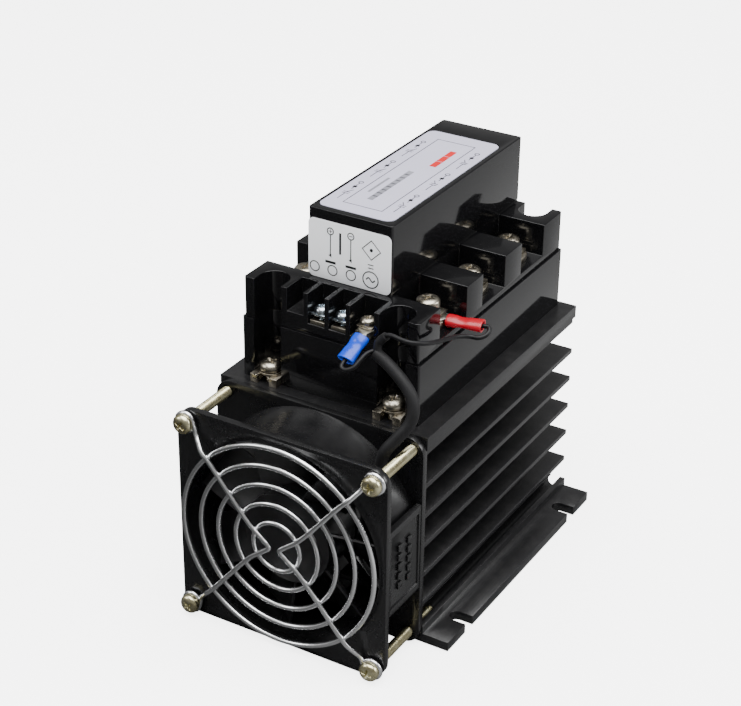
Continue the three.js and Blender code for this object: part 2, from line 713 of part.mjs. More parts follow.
// ---------------------------------------------------------------- module base plate and mounting screws
function makeBasePlate() {
  const top = SINK_H + BED_T;
  const bedY1 = 2 * moduleMidY - BED_Y0;
  const pieces = [block(-BED_W / 2, BED_W / 2, BED_Y0, bedY1, SINK_H, top)];
  const [front, rear] = [MODULE_Y0 - FORK_OVERHANG, moduleY1 + FORK_OVERHANG];
  const tools = [];
  for (const side of [-1, 1]) {
    const x = side * CHANNEL_X;
    pieces.push(block(x - FORK_W / 2, x + FORK_W / 2, front, BED_Y0 + BITE, SINK_H, top));
    pieces.push(block(x - FORK_W / 2, x + FORK_W / 2, bedY1 - BITE, rear, SINK_H, top));
    const half = FORK_SLOT / 2 + 0.05;
    const [m0, m1] = mountY;
    tools.push(block(x - half, x + half, front - PAST, m0, SINK_H - PAST, top + PAST));
    tools.push(block(x - half, x + half, m1, rear + PAST, SINK_H - PAST, top + PAST));
    tools.push(rodZ(x, m0, half, SINK_H - PAST, top + PAST, 16));
    tools.push(rodZ(x, m1, half, SINK_H - PAST, top + PAST, 16));
  }
  return cut(join(pieces), tools);
}

function addMounting() {
  add(object, "base_plate", geometryOf(makeBasePlate()), NICKEL);
  const washer = solid(turned([[0, -1.2], [4.2, -1.2], [4.2, BITE / 2], [0, BITE / 2]], 16));
  const size = { headR: 3.9, headH: 2.9, shankR: MOUNT_SCREW_R, shankL: 7.5, washer };
  const screw = geometryOf(panScrew(size));
  let n = 0;
  for (const y of mountY) {
    for (const side of [-1, 1]) {
      n += 1;
      const mesh = add(object, `mounting_screw_${n}`, screw.clone(), NICKEL);
      mesh.position.set(side * CHANNEL_X, y, SINK_H + BED_T + 1.2 + 0.05);
    }
  }
}

// ---------------------------------------------------------------- power terminals
const barTop = POCKET_FLOOR_Z + BAR_T;

// A bar with a round outer end and a leg down to the substrate, for the right-hand side at Y 0.
function makeBar() {
  const half = BAR_W / 2;
  const straight = BAR_OUTER_X - half * 0.6;
  const shape = new THREE.Shape();
  shape.moveTo(BAR_INNER_X, -half);
  shape.lineTo(straight, -half);
  shape.quadraticCurveTo(BAR_OUTER_X, -half, BAR_OUTER_X, 0);
  shape.quadraticCurveTo(BAR_OUTER_X, half, straight, half);
  shape.lineTo(BAR_INNER_X, half);
  const top = raised(shape, POCKET_FLOOR_Z, barTop, 5);
  const foot = SINK_H + BED_T + SEAT + SUBSTRATE_T + SEAT;
  const leg = block(BAR_INNER_X, BAR_INNER_X + LEG_T, -LEG_W / 2, LEG_W / 2, foot, barTop - BITE);
  const hole = rodZ(POWER_SCREW_X, 0, POWER_SCREW_R + GAP, POCKET_FLOOR_Z - PAST, barTop + PAST, 16);
  return join([top, leg]).subtract(hole);
}

function addPowerTerminals() {
  const bar = geometryOf(makeBar());
  const w = POWER_WASHER_W / 2;
  const washer = raised(roundedShape(-w, w, -w, w, 1.5), -POWER_WASHER_T, BITE / 2, 3);
  const size = {
    headR: POWER_HEAD_R,
    headH: POWER_HEAD_H,
    shankR: POWER_SCREW_R,
    shankL: 8,
    washer,
  };
  const screw = geometryOf(panScrew(size));
  let n = 0;
  for (const side of [1, -1]) {
    for (const y of pocketMidY) {
      n += 1;
      const terminal = new THREE.Group();
      terminal.position.set(0, y, 0);
      if (side < 0) terminal.rotation.z = Math.PI;
      add(terminal, `power_terminal_${n}`, bar.clone(), NICKEL);
      const lift = n === 1 ? TONGUE_T + 0.1 : 0.05;
      const mesh = add(terminal, `power_screw_${n}`, screw.clone(), NICKEL);
      mesh.position.set(POWER_SCREW_X, 0, barTop + lift + POWER_WASHER_T);
      object.add(terminal);
    }
  }
}

// ---------------------------------------------------------------- control terminals
const controlTop = CONTROL_FLOOR_Z + CONTROL_TERMINAL_T;

function addControlTerminals() {
  const half = CONTROL_TERMINAL_W / 2;
  const y0 = MODULE_Y0 + STEP_Y + 0.75;
  const y1 = MODULE_Y0 + STEP_Y + CONTROL_POCKET_L - SEAT;
  const w = CONTROL_WASHER_W / 2;
  const washer = block(-w, w, -w, w, -CONTROL_WASHER_T, BITE / 2);
  const size = {
    headR: CONTROL_HEAD_R,
    headH: CONTROL_HEAD_H,
    shankR: CONTROL_SCREW_R,
    shankL: 5,
    washer,
  };
  const screw = geometryOf(panScrew(size));
  controlMidX.slice(1).forEach((x, i) => {
    const forked = i === 2;
    const top = forked ? controlTop : CONTROL_FLOOR_Z + CONTROL_OPEN_T;
    const hole = rodZ(x, controlMidY, CONTROL_SCREW_R + GAP, CONTROL_FLOOR_Z - PAST, top + PAST, 16);
    const plate = block(x - half, x + half, y0, y1, CONTROL_FLOOR_Z, top).subtract(hole);
    add(object, `control_terminal_${i + 1}`, geometryOf(plate), NICKEL);
    const mesh = add(object, `control_screw_${i + 1}`, screw.clone(), forked ? NICKEL : BLUE_ZINC);
    const lift = forked ? TONGUE_T + 0.1 : CONTROL_BACKED_OUT;
    mesh.position.set(x, controlMidY, top + lift + CONTROL_WASHER_T);
  });
}

// ---------------------------------------------------------------- inside the module
function addInside() {
  const bedTop = SINK_H + BED_T;
  const plate = block(-22, 22, BED_Y0 + 4, 2 * moduleMidY - BED_Y0 - 4, bedTop + SEAT, bedTop + SEAT + SUBSTRATE_T);
  add(object, "ceramic_substrate", geometryOf(plate), CERAMIC);
  const chipZ = bedTop + SEAT + SUBSTRATE_T + SEAT;
  pocketMidY.forEach((y, i) => {
    const chip = block(-9, 9, y - 7, y + 7, chipZ, chipZ + CHIP_T);
    add(object, `thyristor_pair_${i + 1}`, geometryOf(chip), EPOXY);
  });
  const boardHalf = wellHalf - GAP;
  const [b0, b1] = [COVER_Y0 + STEP_Y + PLINTH_T + GAP, moduleY1 - STEP_Y - PLINTH_T - GAP];
  const boardTop = BOARD_Z + BOARD_T;
  add(object, "control_board", geometryOf(block(-boardHalf, boardHalf, b0, b1, BOARD_Z, boardTop)), BOARD_GREEN);
  const transformer = block(-9, 9, b0 + 6, b0 + 26, boardTop + SEAT, boardTop + 15);
  add(object, "sync_transformer", geometryOf(transformer), WINDING);
  const can = rodZ(0, b1 - 14, 5, boardTop + SEAT, boardTop + 14, 20);
  add(object, "filter_capacitor", geometryOf(can), CAN);
}

// ---------------------------------------------------------------- fan lead and fork terminals
const LEAD_POINTS = [
  [29.4, -12.2, 70],
  [30, -12.1, 74],
  [31.2, -11.6, 78.5],
  [34.2, -9.2, 83.2],
  [36.8, -6.6, 87.4],
  [37.2, -4.8, 91.6],
  [35.5, -3.4, 95.8],
  [31, -2.2, 100],
  [25.6, -1.2, 103.4],
  [20.7, -0.6, 105.9],
];
const STUB_POINTS = [
  [21.4, 0.2, 109.5],
  [22.7, 0.2, 111],
  [24, 0.2, 112.3],
];
const RED_CORE_POINTS = [
  [24.6, 0.2, 112.8],
  [26.4, 0.1, 113.1],
  [29.6, -0.3, 112.9],
  [33, 0, 112.6],
  [36, 3.6, 111.6],
  [36.6, 9.6, 109.5],
  [36.8, 16.6, 107.5],
  [37.6, 23, 105.8],
  [40, 26.4, 104.9],
  [42.8, 27, 104.9],
  [44.5, 28.6, 105.5],
  [44.8, 30.6, 106.4],
  [43.8, 31.9, 106.95],
  [42.1, 31.65, 106.95],
  [40.4, 31.3, 106.95],
];
const BLUE_CORE_POINTS = [
  [20, -0.6, 106.2],
  [18.4, -2.4, 105.5],
  [17.5, -5, 104],
  [16.6, -7.2, 102.4],
  [14.4, -8.6, 101.5],
  [12.7, -8.1, 101.9],
  [12.5, -7, 102.55],
  [12.68, -5.9, 103.2],
  [12.8, -5, 103.75],
];

const redAngle = 11;
const tongueZ = barTop + 0.05;

// A flat fork with a tail, lying along +X from the screw at the origin.
function makeFork(width, slot, reach, tail) {
  const half = width / 2;
  const shape = new THREE.Shape();
  shape.moveTo(-half, -half);
  shape.lineTo(half * 0.7, -half);
  shape.lineTo(reach, -1.2);
  shape.lineTo(reach + tail, -1.2);
  shape.lineTo(reach + tail, 1.2);
  shape.lineTo(reach, 1.2);
  shape.lineTo(half * 0.7, half);
  shape.lineTo(-half, half);
  shape.lineTo(-half, slot);
  shape.absarc(0, 0, slot, Math.PI / 2, -Math.PI / 2, true);
  shape.lineTo(-half, -slot);
  return raised(shape, 0, TONGUE_T, 4);
}

// A flattened vinyl sleeve along +X, open at both ends.
function makeSleeve(length, width, height, wall) {
  const shape = new THREE.Shape();
  shape.absellipse(0, 0, height / 2, width / 2, 0, Math.PI * 2);
  const bore = new THREE.Path();
  bore.absellipse(0, 0, height / 2 - wall, width / 2 - wall, 0, Math.PI * 2, true);
  shape.holes.push(bore);
  const settings = { depth: length, bevelEnabled: false, curveSegments: 7 };
  const geometry = new THREE.ExtrudeGeometry(shape, settings);
  geometry.rotateY(Math.PI / 2);
  return geometry;
}

function addLead() {
  add(object, "lead_jacket", wire(LEAD_POINTS, JACKET_R, 10, 30), JACKET_BLACK);
  add(object, "lead_branch_sleeve", wire(STUB_POINTS, STUB_R, 8, 6), JACKET_BLACK);
  add(object, "core_to_red", wire(RED_CORE_POINTS, CORE_R, 8, 48), CORE_BLACK);
  add(object, "core_to_blue", wire(BLUE_CORE_POINTS, CORE_R, 8, 24), CORE_BLACK);

  const red = new THREE.Group();
  red.position.set(POWER_SCREW_X, pocketMidY[0], tongueZ);
  red.rotation.z = THREE.MathUtils.degToRad(redAngle);
  add(red, "red_fork", geometryOf(makeFork(8.4, POWER_SCREW_R + GAP, 6.4, 4)), TINNED);
  const redSleeve = add(red, "red_sleeve", makeSleeve(12.5, 6.2, 4.2, 1), RED_VINYL);
  redSleeve.position.set(6.45, 0, -0.1);
  object.add(red);

  const blue = new THREE.Group();
  blue.position.set(controlMidX[3], controlMidY, controlTop + 0.05);
  blue.rotation.z = THREE.MathUtils.degToRad(-75);
  const tongue = makeFork(6, CONTROL_SCREW_R + GAP, 5.6, 1);
  const barrel = new THREE.Group();
  barrel.position.set(7, 0, TONGUE_T / 2);
  barrel.rotation.order = "ZYX";
  barrel.rotation.z = THREE.MathUtils.degToRad(-23.7);
  barrel.rotation.y = THREE.MathUtils.degToRad(31.7);
  add(blue, "blue_fork", geometryOf(tongue), TINNED);
  add(barrel, "blue_sleeve", makeSleeve(10, 6.4, 4.2, 0.9), BLUE_VINYL);
  blue.add(barrel);
  object.add(blue);
}

// ---------------------------------------------------------------- the whole object
add(object, "heatsink", geometryOf(makeHeatsink()), ANODISED);
addFan();
addGuard();
addMounting();
add(object, "lower_housing", geometryOf(makeLowerHousing()), CASE_BLACK);
add(object, "upper_housing", geometryOf(makeUpperHousing()), CASE_BLACK);
add(object, "cover", geometryOf(makeCover()), CASE_BLACK);
addLabels();
addPowerTerminals();
addControlTerminals();
addInside();
addLead();
object.position.y = -SINK_L / 2;

export default object;
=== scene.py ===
"""Looks of a three-phase solid state power regulator on a fan-cooled heatsink.

The sizes below are millimetres, drawn from the middle of the heatsink's front face at floor level.
`spot` turns them into metres in the part's own frame.
"""

import json
import logging
import math
from dataclasses import dataclass, field
from enum import Enum
from typing import Callable, Sequence

import bmesh
import bpy
from mathutils import Matrix, Vector


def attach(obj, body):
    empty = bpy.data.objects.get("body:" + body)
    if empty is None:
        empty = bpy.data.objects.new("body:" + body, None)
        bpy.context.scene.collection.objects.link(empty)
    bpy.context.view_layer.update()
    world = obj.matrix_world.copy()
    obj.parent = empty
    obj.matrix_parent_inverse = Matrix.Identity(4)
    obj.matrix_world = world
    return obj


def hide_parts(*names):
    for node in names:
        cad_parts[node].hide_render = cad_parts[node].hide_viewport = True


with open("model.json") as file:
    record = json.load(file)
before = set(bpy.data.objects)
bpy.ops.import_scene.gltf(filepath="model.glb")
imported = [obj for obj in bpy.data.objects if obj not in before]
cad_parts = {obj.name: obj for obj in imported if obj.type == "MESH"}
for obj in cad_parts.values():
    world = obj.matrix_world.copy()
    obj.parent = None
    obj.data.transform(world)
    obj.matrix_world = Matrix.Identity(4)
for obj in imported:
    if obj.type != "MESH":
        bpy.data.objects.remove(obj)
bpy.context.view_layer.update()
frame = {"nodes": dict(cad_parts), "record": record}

LOG = logging.getLogger("regulator")
MM = 0.001
MIDDLE_Y = 55.0
ALONG = 0.9  # a face looks along an axis when that much of its normal does
WELD = 2e-6  # points this close in metres are one point
FLAT = 0.4  # degrees between faces that are one flat face
Point = tuple[float, float, float]
Thing = bpy.types.Object
Material = bpy.types.Material
Tree = bpy.types.NodeTree
Socket = bpy.types.NodeSocket


class Body(Enum):
    """The bodies of the part."""

    CHASSIS = "chassis"
    ROTOR = "rotor"


class Axis(Enum):
    """A direction that a pattern is drawn out along."""

    X = 0
    Y = 1
    Z = 2


# ---- places and small tools


def spot(x: float, y: float, z: float) -> Vector:
    """A place in metres, in the part's frame.

    Args:
        x: millimetres to the right of the middle.
        y: millimetres behind the heatsink's front face.
        z: millimetres above the floor.

    Returns:
        The same place as the tools count it.
    """
    return Vector((x * MM, (y - MIDDLE_Y) * MM, z * MM))


def at(x: float, y: float, z: float) -> Matrix:
    """A move from the world's origin to `spot(x, y, z)`."""
    return Matrix.Translation(spot(x, y, z))


def turn(degrees: float, axis: str) -> Matrix:
    """A turn about one of the world's axes."""
    return Matrix.Rotation(math.radians(degrees), 4, axis)


def deselect() -> None:
    """Leaves nothing selected, so that the next operator acts on its own piece alone."""
    bpy.ops.object.select_all(action="DESELECT")


def only(obj: Thing) -> None:
    """Selects one object and makes it active."""
    deselect()
    obj.select_set(True)
    bpy.context.view_layer.objects.active = obj


def named(name: str) -> Thing:
    """Gives the active object, fresh from an operator, its name."""
    obj = bpy.context.view_layer.objects.active
    obj.name = name
    obj.data.name = name
    return obj


def edit(obj: Thing) -> None:
    """Opens one object in edit mode, with its points selectable."""
    only(obj)
    bpy.ops.object.mode_set(mode="EDIT")
    bpy.ops.mesh.select_mode(type="VERT")


def edit_all(obj: Thing) -> None:
    """Opens one object in edit mode, with everything selected."""
    edit(obj)
    bpy.ops.mesh.select_all(action="SELECT")


def done() -> None:
    """Leaves edit mode."""
    bpy.ops.object.mode_set(mode="OBJECT")


def pull(x: float, y: float, z: float) -> None:
    """Extrudes what is selected by metres along each axis."""
    bpy.ops.mesh.extrude_region_move(TRANSFORM_OT_translate={"value": (x, y, z)})


def grow(x: float, y: float, z: float) -> None:
    """Scales what is selected about the origin."""
    bpy.ops.transform.resize(value=(x, y, z), center_override=(0, 0, 0))


def block(name: str, size: Sequence[float], middle: Sequence[float]) -> Thing:
    """A box of a size, at its place, both in metres."""
    deselect()
    bpy.ops.mesh.primitive_cube_add(size=1.0, location=middle)
    box = named(name)
    box.scale = size
    settle(box)
    return box


def disc(name: str, radius: float, thick: float, height: float, sides: int) -> Thing:
    """A round plate about the Z axis, in millimetres, with its middle at a height."""
    deselect()
    bpy.ops.mesh.primitive_cylinder_add(
        vertices=sides,
        radius=radius * MM,
        depth=thick * MM,
        location=(0, 0, height * MM),
    )
    plate = named(name)
    settle(plate)
    return plate


def pick_faces(
    obj: Thing,
    wanted: Callable[[bmesh.types.BMFace], bool],
) -> None:
    """Selects the faces that pass a test, in edit mode.

    Args:
        obj: the object that is open in edit mode.
        wanted: says whether a face is selected.
    """
    bpy.ops.mesh.select_mode(type="FACE")
    shape = bmesh.from_edit_mesh(obj.data)
    for part in (shape.verts, shape.edges, shape.faces):
        for item in part:
            item.select = False
    for face in shape.faces:
        face.select_set(wanted(face))
    bmesh.update_edit_mesh(obj.data)


def settle(obj: Thing, move: Matrix | None = None) -> None:
    """Puts an object's place into its mesh, and then moves the mesh.

    Args:
        obj: the object, which ends at the origin, unturned and unscaled.
        move: a further move of the mesh.
    """
    bpy.context.view_layer.update()
    obj.data.transform(obj.matrix_world)
    obj.matrix_world = Matrix.Identity(4)
    if move is not None:
        obj.data.transform(move)
    obj.data.update()


def outward(obj: Thing) -> None:
    """Merges doubles and turns every face outwards."""
    edit_all(obj)
    bpy.ops.mesh.remove_doubles(threshold=WELD / 2)
    bpy.ops.mesh.normals_make_consistent(inside=False)
    done()


def apply_all(obj: Thing) -> None:
    """Applies each modifier in order."""
    only(obj)
    for modifier in list(obj.modifiers):
        bpy.ops.object.modifier_apply(modifier=modifier.name)


def round_edges(
    obj: Thing,
    width: float,
    segments: int = 2,
    angle: float = 30.0,
) -> None:
    """Rounds the edges that are sharper than an angle, and shades the rest smooth.

    Args:
        obj: the object.
        width: how wide the rounding is, in millimetres.
        segments: steps across the rounding.
        angle: the sharpest bend that stays as it is, in degrees.
    """
    bevel = obj.modifiers.new("rounding", "BEVEL")
    bevel.width = width * MM
    bevel.segments = segments
    bevel.limit_method = "ANGLE"
    bevel.angle_limit = math.radians(angle)
    bevel.use_clamp_overlap = True
    bevel.miter_outer = "MITER_ARC"
    apply_all(obj)
    smooth(obj, angle)


def smooth(obj: Thing, angle: float = 30.0) -> None:
    """Shades an object smooth, except across edges sharper than an angle."""
    only(obj)
    bpy.ops.object.shade_smooth_by_angle(angle=math.radians(angle))


def joined(name: str, pieces: Sequence[Thing]) -> Thing:
    """Joins objects into the first one.

    Args:
        name: the joined object's name.
        pieces: the objects, whose meshes are in place.

    Returns:
        The joined object.
    """
    only(pieces[0])
    for piece in pieces[1:]:
        piece.select_set(True)
    bpy.ops.object.join()
    return named(name)


def stamped(master: Thing, name: str, move: Matrix) -> Thing:
    """A copy of a piece with its own mesh.

    Args:
        master: the piece that is copied.
        name: the copy's name.
        move: where the copy goes.

    Returns:
        The copy.
    """
    copy = master.copy()
    copy.data = master.data.copy()
    copy.name = name
    copy.data.name = name
    bpy.context.scene.collection.objects.link(copy)
    copy.data.transform(move)
    copy.data.update()
    return copy


def dropped(obj: Thing) -> None:
    """Removes a master that has been copied."""
    bpy.data.objects.remove(obj, do_unlink=True)


def clean_copy(node: str) -> Thing:
    """A copy of a CAD node with merged points and whole flat faces.

    Args:
        node: the CAD node's name.

    Returns:
        The copy, which rides on nothing yet.
    """
    copy = stamped(frame["nodes"][node], f"{node}_finished", Matrix.Identity(4))
    copy.parent = None
    copy.matrix_world = Matrix.Identity(4)
    for key in list(copy.keys()):
        del copy[key]
    edit_all(copy)
    bpy.ops.mesh.remove_doubles(threshold=WELD)
    bpy.ops.mesh.dissolve_limited(angle_limit=math.radians(FLAT))
    done()
    return copy


def refined(node: str, width: float, segments: int = 2) -> Thing:
    """A clean copy of a CAD node with rounded edges.

    Args:
        node: the CAD node's name.
        width: how wide the rounding is, in millimetres.
        segments: steps across the rounding.

    Returns:
        The copy.
    """
    copy = clean_copy(node)
    round_edges(copy, width, segments)
    return copy


def between(a: Vector, b: Vector, start: float, end: float, t: float) -> Vector:
    """The place that t gives on the straight line from a, at start, to b, at end."""
    return a * ((end - t) / (end - start)) + b * ((t - start) / (end - start))


def rounded_path(points: Sequence[Point], steps: int) -> list[Vector]:
    """Points along the smooth curve through some places.

    Args:
        points: places in millimetres.
        steps: pieces between two places.

    Returns:
        Places along a centripetal Catmull-Rom curve, in metres.
    """
    own = [spot(*p) for p in points]
    own = [own[0] * 2 - own[1], *own, own[-1] * 2 - own[-2]]
    found: list[Vector] = []
    for i in range(1, len(own) - 2):
        p0, p1, p2, p3 = own[i - 1 : i + 3]
        t1 = max((p1 - p0).length, 1e-7) ** 0.5
        t2 = t1 + max((p2 - p1).length, 1e-7) ** 0.5
        t3 = t2 + max((p3 - p2).length, 1e-7) ** 0.5
        for k in range(steps):
            t = t1 + (t2 - t1) * k / steps
            a1 = between(p0, p1, 0.0, t1, t)
            a2 = between(p1, p2, t1, t2, t)
            a3 = between(p2, p3, t2, t3, t)
            b1 = between(a1, a2, 0.0, t2, t)
            b2 = between(a2, a3, t1, t3, t)
            found.append(between(b1, b2, t1, t2, t))
    found.append(own[-2])
    return found


def round_wire(
    name: str,
    path: Sequence[Vector],
    radius: float,
    sides: int = 16,
) -> Thing:
    """A round wire or cord with closed ends.

    Args:
        name: its name.
        path: places along its middle, in metres.
        radius: millimetres.
        sides: faces round it.

    Returns:
        The wire as a mesh.
    """
    curve = bpy.data.curves.new(name, "CURVE")
    curve.dimensions = "3D"
    curve.bevel_depth = radius * MM
    curve.bevel_resolution = max(sides // 4 - 1, 1)
    curve.use_fill_caps = True
    line = curve.splines.new("POLY")
    line.points.add(len(path) - 1)
    for point, place in zip(line.points, path):
        point.co = (*place, 1.0)
    obj = bpy.data.objects.new(name, curve)
    bpy.context.scene.collection.objects.link(obj)
    only(obj)
    bpy.ops.object.convert(target="MESH")
    wire = named(name)
    smooth(wire, 50.0)
    return wire


# ---- shader groups


NUMBER = "NodeSocketFloat"


def new_group(
    name: str,
    inputs: dict[str, float],
    outputs: Sequence[str],
) -> tuple[Tree, bpy.types.Node, bpy.types.Node]:
    """An empty shader group with its number sockets.

    Args:
        name: the group's name.
        inputs: each number input and its usual value.
        outputs: each number output.

    Returns:
        The group, the node that its inputs come from, and the node that its outputs go to.
    """
    group = bpy.data.node_groups.new(name, "ShaderNodeTree")
    for label, value in inputs.items():
        socket = group.interface.new_socket(name=label, in_out="INPUT", socket_type=NUMBER)
        socket.default_value = value
    for label in outputs:
        group.interface.new_socket(name=label, in_out="OUTPUT", socket_type=NUMBER)
    return group, group.nodes.new("NodeGroupInput"), group.nodes.new("NodeGroupOutput")


def maths(tree: Tree, operation: str, *values: object) -> Socket:
    """A Math node whose inputs are numbers or sockets, and its output."""
    node = tree.nodes.new("ShaderNodeMath")
    node.operation = operation
    for socket, value in zip(node.inputs, values):
        if isinstance(value, (int, float)):
            socket.default_value = value
        else:
            tree.links.new(value, socket)
    return node.outputs[0]


def object_place(tree: Tree, scale: Point = (1.0, 1.0, 1.0)) -> Socket:
    """The Object coordinate, stretched by a Mapping node."""
    coordinate = tree.nodes.new("ShaderNodeTexCoord")
    mapping = tree.nodes.new("ShaderNodeMapping")
    mapping.inputs["Scale"].default_value = scale
    tree.links.new(coordinate.outputs["Object"], mapping.inputs["Vector"])
    return mapping.outputs["Vector"]


def noise(
    tree: Tree,
    vector: Socket,
    scale: object,
    detail: float = 4.0,
    rough: float = 0.55,
) -> Socket:
    """A noise texture and its number output."""
    node = tree.nodes.new("ShaderNodeTexNoise")
    node.inputs["Detail"].default_value = detail
    node.inputs["Roughness"].default_value = rough
    tree.links.new(vector, node.inputs["Vector"])
    if isinstance(scale, (int, float)):
        node.inputs["Scale"].default_value = scale
    else:
        tree.links.new(scale, node.inputs["Scale"])
    return node.outputs["Fac"]


def mottle_group() -> Tree:
    """Slow cloudy variation, for handled and moulded surfaces."""
    group, inside, outside = new_group("mottle", {"Scale": 60.0, "Contrast": 2.0}, ["Mask"])
    place = object_place(group)
    coarse = noise(group, place, inside.outputs["Scale"], 5.0)
    fine = noise(group, place, maths(group, "MULTIPLY", inside.outputs["Scale"], 5.3), 3.0)
    most = maths(group, "MULTIPLY", coarse, 0.7)
    both = maths(group, "ADD", most, maths(group, "MULTIPLY", fine, 0.3))
    centred = maths(group, "SUBTRACT", both, 0.5)
    pushed = maths(group, "MULTIPLY_ADD", centred, inside.outputs["Contrast"], 0.5)
    clamped = maths(group, "MINIMUM", maths(group, "MAXIMUM", pushed, 0.0), 1.0)
    group.links.new(clamped, outside.inputs["Mask"])
    return group


def grain_group() -> Tree:
    """The fine height of a moulded, cast or plated skin."""
    group, inside, outside = new_group("grain", {"Scale": 1500.0, "Pits": 0.3}, ["Height"])
    place = object_place(group)
    skin = noise(group, place, inside.outputs["Scale"], 2.0, 0.5)
    cells = group.nodes.new("ShaderNodeTexVoronoi")
    group.links.new(place, cells.inputs["Vector"])
    group.links.new(maths(group, "MULTIPLY", inside.outputs["Scale"], 0.35), cells.inputs["Scale"])
    pits = maths(group, "MULTIPLY", cells.outputs["Distance"], inside.outputs["Pits"])
    group.links.new(maths(group, "ADD", skin, pits), outside.inputs["Height"])
    return group


def streak_group(axis: Axis) -> Tree:
    """Long fine lines along one axis, as drawing, rolling or brushing leaves.

    Args:
        axis: the direction of the lines.

    Returns:
        A group that puts out a height and a mask.
    """
    name = f"streaks_{axis.name.lower()}"
    group, inside, outside = new_group(name, {"Scale": 900.0}, ["Height", "Mask"])
    stretch = [1.0, 1.0, 1.0]
    stretch[axis.value] = 0.012
    place = object_place(group, tuple(stretch))
    fine = noise(group, place, inside.outputs["Scale"], 3.0, 0.6)
    broad = maths(group, "MULTIPLY", inside.outputs["Scale"], 0.22)
    wide = noise(group, place, broad, 2.0, 0.5)
    group.links.new(fine, outside.inputs["Height"])
    group.links.new(wide, outside.inputs["Mask"])
    return group


def dust_group() -> Tree:
    """Fine dust that settles on what faces up."""
    group, inside, outside = new_group("dust", {"Amount": 0.1, "Scale": 220.0}, ["Mask"])
    facing = group.nodes.new("ShaderNodeNewGeometry")
    parts = group.nodes.new("ShaderNodeSeparateXYZ")
    group.links.new(facing.outputs["Normal"], parts.inputs[0])
    up = maths(group, "MAXIMUM", parts.outputs["Z"], 0.0)
    specks = noise(group, object_place(group), inside.outputs["Scale"], 6.0, 0.7)
    sharp = maths(group, "POWER", specks, 3.0)
    settled = maths(group, "MULTIPLY", up, sharp)
    amount = maths(group, "MULTIPLY", settled, inside.outputs["Amount"])
    group.links.new(maths(group, "MINIMUM", amount, 1.0), outside.inputs["Mask"])
    return group


GROUPS: dict[str, Tree] = {}


def placed_group(tree: Tree, name: str, **values: float) -> bpy.types.Node:
    """A shader group placed in a material with its own values."""
    node = tree.nodes.new("ShaderNodeGroup")
    node.node_tree = GROUPS[name]
    for label, value in values.items():
        node.inputs[label].default_value = value
    return node


# ---- finishes


@dataclass(frozen=True)
class Finish:
    """One material: two tones, a range of roughness, a skin and a little dust."""

    name: str
    dark: Point
    light: Point
    rough: tuple[float, float]
    metallic: float = 0.0
    specular: float = 0.5
    mottle: float = 60.0
    contrast: float = 2.0
    grain: float = 1500.0
    pits: float = 0.3
    bump: float = 0.1
    streak: Axis | None = None
    streak_scale: float = 900.0
    streak_bump: float = 0.1
    dust: float = 0.0
    dust_tone: Point = (0.35, 0.34, 0.32)

    def build(self) -> Material:
        """Makes the material.

        Returns:
            A node material on Object coordinates.
        """
        material = bpy.data.materials.new(self.name)
        material.use_nodes = True
        tree = material.node_tree
        shader = tree.nodes["Principled BSDF"]
        shader.inputs["Metallic"].default_value = self.metallic
        shader.inputs["Specular IOR Level"].default_value = self.specular
        cloud = placed_group(tree, "mottle", Scale=self.mottle, Contrast=self.contrast)
        mask = cloud.outputs["Mask"]
        height = placed_group(tree, "grain", Scale=self.grain, Pits=self.pits).outputs["Height"]
        if self.streak is not None:
            name = f"streaks_{self.streak.name.lower()}"
            lines = placed_group(tree, name, Scale=self.streak_scale)
            half = maths(tree, "MULTIPLY", mask, 0.5)
            mask = maths(tree, "ADD", half, maths(tree, "MULTIPLY", lines.outputs["Mask"], 0.5))
            share = self.streak_bump / self.bump
            drawn = maths(tree, "MULTIPLY", lines.outputs["Height"], share)
            height = maths(tree, "ADD", height, drawn)
        tone = self.mix(tree, mask, self.dark, self.light)
        if self.dust > 0.0:
            dusty = placed_group(tree, "dust", Amount=self.dust).outputs["Mask"]
            tone = self.mix(tree, dusty, tone, self.dust_tone)
        tree.links.new(tone, shader.inputs["Base Color"])
        low, high = self.rough
        spread = maths(tree, "MULTIPLY_ADD", mask, high - low, low)
        tree.links.new(spread, shader.inputs["Roughness"])
        bump = tree.nodes.new("ShaderNodeBump")
        bump.inputs["Strength"].default_value = self.bump
        bump.inputs["Distance"].default_value = 0.0001
        tree.links.new(height, bump.inputs["Height"])
        tree.links.new(bump.outputs["Normal"], shader.inputs["Normal"])
        return material

    @staticmethod
    def mix(
        tree: Tree,
        share: Socket,
        a: object,
        b: object,
    ) -> Socket:
        """A colour between two, each a colour or a socket."""
        node = tree.nodes.new("ShaderNodeMix")
        node.data_type = "RGBA"
        tree.links.new(share, node.inputs["Factor"])
        for socket, value in ((node.inputs[6], a), (node.inputs[7], b)):
            if isinstance(value, tuple):
                socket.default_value = (*value, 1.0)
            else:
                tree.links.new(value, socket)
        return node.outputs[2]


